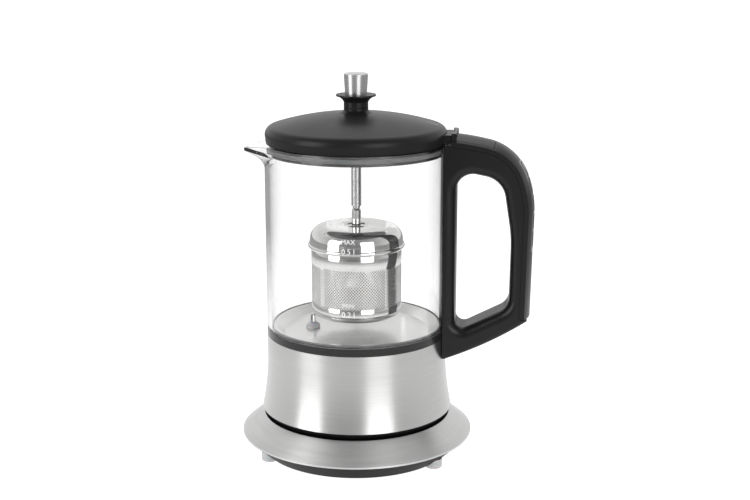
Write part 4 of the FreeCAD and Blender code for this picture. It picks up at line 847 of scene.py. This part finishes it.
@dataclass
class Infuser:
    """The infuser: rod, stem, polished cap and the perforated basket."""

    finishes: Finisher
    wall: float = 0.45 * MM
    corner: float = 3.5 * MM
    field_bottom: float = 8.0 * MM
    field_top: float = 31.0 * MM
    set_back: float = 0.2 * MM
    axis_gap: float = 0.02 * MM
    fields: int = 4
    field_columns: int = 44
    rib_columns: int = 4
    hole_rows: int = 25
    hole_margin: float = 0.08 * MM
    hole_bevel: float = 0.1 * MM
    hole_radius: float = 0.46 * MM
    corner_steps: int = 6
    field_start: float = -45.0
    basket_weld: float = 0.03 * MM
    # Slot offset that gives the basket's inner side and hole walls the painted-shade steel.
    inner_finish: int = 2
    cap_shoulder: float = 8.0 * MM
    shoulder_steps: int = 14
    cap_steps: int = 72
    cap_weld: float = 0.02 * MM
    bead: float = 1.5 * MM
    bead_turn: tuple[float, float] = (75.0, -90.0)
    bead_steps: int = 10
    stem_hole: float = 2.4 * MM
    dimple_radius: float = 6.3 * MM
    dimple_depth: float = 0.8 * MM
    dimple_lip: float = 0.15 * MM
    dimple_wall: float = 0.8 * MM
    dimple_edge: float = 1.4 * MM
    vents: int = 8
    vent_circle: float = 15.0 * MM
    vent_cell: float = 0.66 * MM
    vent_margin: float = 0.05 * MM
    vent_bevel: float = 0.3 * MM
    vent_radius: float = 0.58 * MM

    def dress(self, nodes: dict[str, bpy.types.Object]) -> None:
        """Finishes the infuser's nodes."""
        self.finishes.dress(nodes, {
            "knob_collar": "lid_black", "knob_cap": "rod_steel", "lift_rod": "rod_steel",
            "infuser_stem": "polished_steel", "infuser_cap": "polished_steel",
            "infuser_basket": "basket_steel",
        })

    def solid_parts(self, mesh: bmesh.types.BMesh, radius: float, low: float, high: float,
                    steps: int) -> None:
        """Spins the basket's bottom, its lower band and its rim.

        Args:
            mesh: The bmesh.
            radius: The basket's outer radius.
            low: Its bottom.
            high: Its rim.
            steps: Steps round the axis.
        """
        floor = [(self.axis_gap, low), (radius * 0.5, low), (radius - self.corner, low)]
        for step in range(1, self.corner_steps + 1):
            angle = math.pi / 2 * step / self.corner_steps
            floor.append((radius - self.corner + self.corner * math.sin(angle),
                          low + self.corner - self.corner * math.cos(angle)))
        field_low = low + self.field_bottom
        field_high = low + self.field_top
        inset = radius - self.set_back
        floor += [(radius, field_low - self.set_back * 2), (inset, field_low)]
        rim = [(inset, field_high), (radius, field_high + self.set_back * 2), (radius, high)]
        spin_full(mesh, chain(mesh, floor), steps)
        spin_full(mesh, chain(mesh, rim), steps)

    def perforated_field(self, mesh: bmesh.types.BMesh, radius: float, low: float,
                         columns: int) -> None:
        """Makes the perforated fields with the plain ribs between them.

        The holes are staggered: every other cell has one, like the dark squares of a board.

        Args:
            mesh: The bmesh.
            radius: The basket's outer radius.
            low: Its bottom.
            columns: Columns of cells round the axis.
        """
        made = bmesh.ops.create_grid(mesh, x_segments=columns, y_segments=self.hole_rows, size=0.5)
        height = self.field_top - self.field_bottom
        group = self.field_columns + self.rib_columns
        holes = []
        for face in mesh.faces:
            middle = face.calc_center_median()
            column = int((middle.x + 0.5) * columns)
            row = int((middle.y + 0.5) * self.hole_rows)
            if column % group >= self.rib_columns and (column + row) % 2 == 0:
                holes.append(face)
        inset = radius - self.set_back
        for corner in made["verts"]:
            turn = (corner.co.x + 0.5) * math.tau + math.radians(self.field_start)
            level = low + self.field_bottom + (corner.co.y + 0.5) * height
            corner.co = Vector((inset * math.cos(turn), inset * math.sin(turn), level))
        punch(mesh, holes, self.hole_margin, self.hole_bevel, self.hole_radius)

    def build(self) -> None:
        """Builds the cap and the basket."""
        self.build_cap()
        self.build_basket()

    def build_cap(self) -> None:
        """Builds the cap with its deep rounded shoulder and rolled rim."""
        low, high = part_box("infuser_cap")
        radius = high[0] - self.bead * 0.5
        top = high[2]
        rim = low[2]
        shoulder = self.cap_shoulder
        vent_low = self.vent_circle - self.vent_cell
        vent_high = self.vent_circle + self.vent_cell
        profile = [(self.stem_hole, top - self.dimple_depth),
                   (self.dimple_radius, top - self.dimple_depth),
                   (self.dimple_radius + self.dimple_wall, top - self.dimple_lip),
                   (self.dimple_radius + self.dimple_edge, top), (vent_low, top),
                   (vent_high, top), (radius - shoulder, top)]
        profile += arc_points((radius - shoulder, top - shoulder), shoulder, 90.0, 0.0,
                              self.shoulder_steps)
        bead = self.bead
        profile += arc_points((radius - bead * 0.3, rim + bead), bead, *self.bead_turn,
                              self.bead_steps)
        profile.append((radius - bead * 1.2, rim))
        mesh = bmesh.new()
        spin_full(mesh, chain(mesh, profile), self.cap_steps)
        bmesh.ops.remove_doubles(mesh, verts=mesh.verts, dist=self.cap_weld)
        cells = []
        spacing = self.cap_steps // self.vents
        for face in mesh.faces:
            middle = face.calc_center_median()
            if vent_low < math.hypot(middle.x, middle.y) < vent_high:
                place = round(math.atan2(middle.y, middle.x) / math.tau * self.cap_steps - 0.5)
                if place % spacing == 0:
                    cells.append(face)
        punch(mesh, cells, self.vent_margin, self.vent_bevel, self.vent_radius)
        bmesh.ops.recalc_face_normals(mesh, faces=mesh.faces)
        cap = piece_from(mesh, "polished_cap", self.finishes.get("polished_steel"),
                         Body.INFUSER)
        thicken(cap, self.wall)
        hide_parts("infuser_cap")

    def build_basket(self) -> None:
        """Builds the perforated basket in place of the plain one."""
        low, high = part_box("infuser_basket")
        radius = high[0]
        columns = self.fields * (self.field_columns + self.rib_columns)
        mesh = bmesh.new()
        self.perforated_field(mesh, radius, low[2], columns)
        field = set(mesh.faces)
        self.solid_parts(mesh, radius, low[2], high[2], columns)
        for face in mesh.faces:
            face.material_index = 0 if face in field else 1
        bmesh.ops.remove_doubles(mesh, verts=mesh.verts, dist=self.basket_weld)
        bmesh.ops.recalc_face_normals(mesh, faces=mesh.faces)
        basket = piece_from(mesh, "perforated_basket", self.finishes.get("basket_steel"),
                            Body.INFUSER)
        basket.data.materials.append(self.finishes.get("polished_steel"))
        # Painted shade: the inner side and hole walls take the much darker steel through the slot
        # offset.
        basket.data.materials.append(self.finishes.get("inside_steel_painted_shade"))
        thicken(basket, self.wall, self.inner_finish)
        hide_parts("infuser_basket")


@dataclass
class Handle:
    """The handle with its button, its keys with their legends, and the lip in its seam."""

    finishes: Finisher
    keys: tuple[str, ...] = ("power_key", "strength_key", "temperature_key", "keep_warm_key",
                             "start_key")
    legend_length: float = 2.6 * MM
    legend_lift: float = 0.04 * MM
    key_crown_radius: float = 26.0 * MM
    key_crown_depth: float = 1.2 * MM
    rail_start: tuple[float, float] = (54.2 * MM, 190.8 * MM)
    rail_slope: float = -4.5
    rail_turns: tuple[tuple[float, float], ...] = (
        (150.0 * MM, 8.5), (31.0 * MM, 55.5), (61.0 * MM, 22.6))
    rail_straight: float = 59.0 * MM
    rail_steps: int = 16
    seam_depth: float = 6.1 * MM
    lip_start: float = 82.0 * MM
    lip_height: float = 0.8 * MM
    lip_half_width: float = 12.3 * MM

    def dress(self, nodes: dict[str, bpy.types.Object]) -> None:
        """Finishes the handle's nodes."""
        table = {"handle_shell": "handle_black", "handle_cover": "handle_black",
                 "control_panel": "panel_gloss", "control_board": "board_resin",
                 "button_spring": "screw_steel", "handle_screws": "screw_steel",
                 "lid_button": "button_black"}
        table.update({key: "panel_gloss" for key in self.keys})
        self.finishes.dress(nodes, table)

    def outward_axis(self, joints: list[dict], key: str) -> Vector:
        """Finds which way a key faces.

        Args:
            joints: The frame's joints.
            key: The key's node.

        Returns:
            The direction out of the handle.
        """
        for joint in joints:
            if joint["name"] == key + "_press":
                return -Vector(joint["axis"]).normalized()
        raise KeyError(key)

    def top_point(self, node: bpy.types.Object, outward: Vector) -> Vector:
        """Finds the highest point of a key's crown, midway across.

        Args:
            node: The key.
            outward: The direction out of the handle.

        Returns:
            The point in the object's frame.
        """
        along = outward.cross(Vector((0, 1, 0)))
        reach = max(corner.co.dot(outward) for corner in node.data.vertices)
        crown = [corner.co for corner in node.data.vertices
                 if corner.co.dot(outward) > reach - self.key_crown_depth]
        spans = [corner.dot(along) for corner in crown]
        middle = (min(spans) + max(spans)) / 2
        return outward * reach + along * middle

    def seam_line(self, depth: float) -> list[tuple[float, float]]:
        """Follows the seam between the handle's two halves, from behind the button.

        Args:
            depth: The depth below the handle's outer line.

        Returns:
            Points in the XZ plane.
        """
        x, z = self.rail_start
        heading = math.radians(self.rail_slope)
        points = [(x + depth * math.sin(heading), z - depth * math.cos(heading))]
        for radius, turn in self.rail_turns:
            centre = (x + radius * math.sin(heading), z - radius * math.cos(heading))
            start = math.degrees(heading) + 90.0
            points += arc_points(centre, radius - depth, start, start - turn, self.rail_steps)
            heading -= math.radians(turn)
            x = centre[0] - radius * math.sin(heading)
            z = centre[1] + radius * math.cos(heading)
        last = points[-1]
        points.append((last[0] + self.rail_straight * math.cos(heading),
                       last[1] + self.rail_straight * math.sin(heading)))
        return [point for point in points if point[0] > self.lip_start]

    def build_lip(self) -> None:
        """Builds the lip of one half that closes the seam from inside."""
        mesh = bmesh.new()
        half = self.lip_height / 2
        near = chain(mesh, self.seam_line(self.seam_depth - half))
        far = chain(mesh, self.seam_line(self.seam_depth + half))
        rows = [item for item in (*near, *far) if isinstance(item, bmesh.types.BMEdge)]
        bmesh.ops.bridge_loops(mesh, edges=rows)
        grown = bmesh.ops.extrude_face_region(mesh, geom=list(mesh.faces))
        moved = [item for item in grown["geom"] if isinstance(item, bmesh.types.BMVert)]
        bmesh.ops.translate(mesh, verts=mesh.verts, vec=(0.0, -self.lip_half_width, 0.0))
        bmesh.ops.translate(mesh, verts=moved, vec=(0.0, 2 * self.lip_half_width, 0.0))
        bmesh.ops.recalc_face_normals(mesh, faces=mesh.faces)
        piece_from(mesh, "seam_lip", self.finishes.get("foot_black"), Body.JUG)

    def build(self, nodes: dict[str, bpy.types.Object], joints: list[dict]) -> None:
        """Builds the seam's lip and the keys' legends.

        Args:
            nodes: The frame's nodes by name.
            joints: The frame's joints.
        """
        self.build_lip()
        for count, key in enumerate(self.keys, start=1):
            outward = self.outward_axis(joints, key)
            along = outward.cross(Vector((0, 1, 0))).normalized()
            centre = self.top_point(nodes[key], outward) + outward * self.legend_lift
            place = Matrix((Vector((0, 1, 0)), along, outward)).transposed().to_4x4()
            place.translation = centre
            legend = text_mesh(str(count), self.legend_length)
            for corner in legend.verts:
                drop = corner.co.x ** 2 / (2 * self.key_crown_radius)
                corner.co.z = -drop
            bmesh.ops.transform(legend, matrix=place, verts=legend.verts)
            piece_from(legend, key + "_legend", self.finishes.get("white_print"),
                       key + "_body")


# Studio

def seen_first(graph: Graph) -> Socket:
    """Tells what the camera sees straight or through glass from what it sees in a reflection.

    Args:
        graph: The stage material's or the world's graph.

    Returns:
        1 before the light path's first bounce off a surface, and 0 after it.
    """
    path = graph.add("ShaderNodeLightPath")
    bounces = graph.math("ADD", path.outputs["Glossy Depth"], path.outputs["Diffuse Depth"])
    return graph.math("LESS_THAN", bounces, 0.5)


@dataclass(frozen=True)
class SoftBox:
    """A soft box: its direction about the upright axis in degrees, its distance from that axis,
    its height, its width and height in metres and its power in watts."""

    name: str
    turn: float
    distance: float
    level: float
    size: tuple[float, float]
    power: float


@dataclass
class Studio:
    """The camera, the pale floor, the soft boxes and the room's light."""

    camera_place: tuple[float, float, float] = (95.7 * MM, -768.7 * MM, 308.8 * MM)
    camera_pitch: float = 13.62
    camera_turn: float = 6.3
    lens: float = 65.7
    sensor_width: float = 36.0
    nearest: float = 10.0 * MM
    floor_size: float = 60.0
    floor_glow: float = 0.88
    floor_dark: float = 0.14
    floor_near: float = 0.26
    floor_far: float = 0.62
    room_front: float = 0.25
    room_back: float = 1.1
    room_middle: float = 0.85
    room_sides: float = 1.15
    aim_level: float = 120.0 * MM
    soft_boxes: tuple[SoftBox, ...] = (
        SoftBox("left_box", -140.9, 1.1, 0.42, (0.6, 1.0), 8.0),
        SoftBox("right_box", -55.9, 1.3, 0.45, (0.75, 1.1), 10.0),
        SoftBox("top_box", 100.0, 0.7, 1.5, (1.6, 1.2), 6.0))

    def camera(self) -> None:
        """Places the camera."""
        data = bpy.data.cameras.new("camera")
        data.lens = self.lens
        data.sensor_width = self.sensor_width
        data.clip_start = self.nearest
        camera = bpy.data.objects.new("camera", data)
        camera.location = self.camera_place
        camera.rotation_euler = (math.radians(90.0 - self.camera_pitch), 0.0,
                                 math.radians(self.camera_turn))
        bpy.context.scene.collection.objects.link(camera)
        bpy.context.scene.camera = camera

    def floor(self) -> None:
        """Lays a plain, pale floor, lit near the object and dim further off in reflections."""
        mesh = bmesh.new()
        bmesh.ops.create_grid(mesh, x_segments=1, y_segments=1, size=self.floor_size / 2)
        data = bpy.data.meshes.new("floor")
        mesh.to_mesh(data)
        mesh.free()
        paint = Paint("floor_white")
        paint.set(Base_Color=(0.28, 0.28, 0.28, 1.0), Roughness=0.9, Specular_IOR_Level=0.1,
                  Emission_Color=(1.0, 1.0, 1.0, 1.0))
        distance = paint.graph.add("ShaderNodeVectorMath", operation="LENGTH")
        paint.graph.join(paint.place, distance.inputs[0])
        reach = paint.graph.math("SUBTRACT", distance.outputs["Value"], self.floor_near)
        share = paint.graph.math("DIVIDE", reach, self.floor_far - self.floor_near)
        glow = paint.graph.spread(share, self.floor_glow, self.floor_dark)
        paint.feed("Emission Strength", paint.graph.math("MAXIMUM", glow, seen_first(paint.graph)))
        data.materials.append(paint.material)
        floor = bpy.data.objects.new("floor", data)
        bpy.context.scene.collection.objects.link(floor)

    def hang(self, box: SoftBox) -> None:
        """Hangs a soft box that faces the object."""
        data = bpy.data.lights.new(box.name, "AREA")
        data.shape = "RECTANGLE"
        data.size, data.size_y = box.size
        data.energy = box.power
        light = bpy.data.objects.new(box.name, data)
        angle = math.radians(box.turn)
        light.location = (box.distance * math.cos(angle), box.distance * math.sin(angle),
                          box.level)
        aim = Vector((0.0, 0.0, self.aim_level)) - light.location
        light.rotation_euler = aim.to_track_quat("-Z", "Y").to_euler()
        bpy.context.scene.collection.objects.link(light)

    def world(self) -> None:
        """Fills the room with light that falls off towards the camera's side."""
        world = bpy.data.worlds.new("room")
        world.use_nodes = True
        graph = Graph(world.node_tree)
        shade = world.node_tree.nodes["Background"]
        split = graph.add("ShaderNodeSeparateXYZ")
        graph.join(graph.add("ShaderNodeTexCoord").outputs["Generated"], split.inputs[0])
        halfway = graph.math("ADD", graph.math("MULTIPLY", split.outputs["Y"], 0.5), 0.5)
        sides = graph.math("MULTIPLY", split.outputs["X"], split.outputs["X"])
        room = graph.math("MULTIPLY", graph.spread(halfway, self.room_front, self.room_back),
                          graph.spread(sides, self.room_middle, self.room_sides))
        graph.join(graph.math("MAXIMUM", seen_first(graph), room), shade.inputs["Strength"])
        shade.inputs["Color"].default_value = (1.0, 1.0, 1.0, 1.0)
        bpy.context.scene.world = world

    def build(self) -> None:
        """Builds the whole studio."""
        self.camera()
        self.floor()
        for box in self.soft_boxes:
            self.hang(box)
        self.world()
        bpy.context.scene.view_settings.view_transform = "Standard"


def main() -> None:
    """Dresses the frame, builds the detailed pieces and the studio."""
    logging.basicConfig(level=logging.INFO, format="%(message)s")
    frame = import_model()
    nodes = frame["nodes"]
    finishes = Finisher()
    foot = JugFoot(finishes)
    glass = GlassJug(finishes)
    lid = Lid(finishes)
    infuser = Infuser(finishes)
    handle = Handle(finishes)
    for assembly in (Base(finishes), foot, glass, lid, infuser, handle):
        assembly.dress(nodes)
    foot.build()
    glass.build()
    lid.build()
    infuser.build()
    handle.build(nodes, frame["joints"])
    Studio().build()


if __name__ == "__main__":
    main()
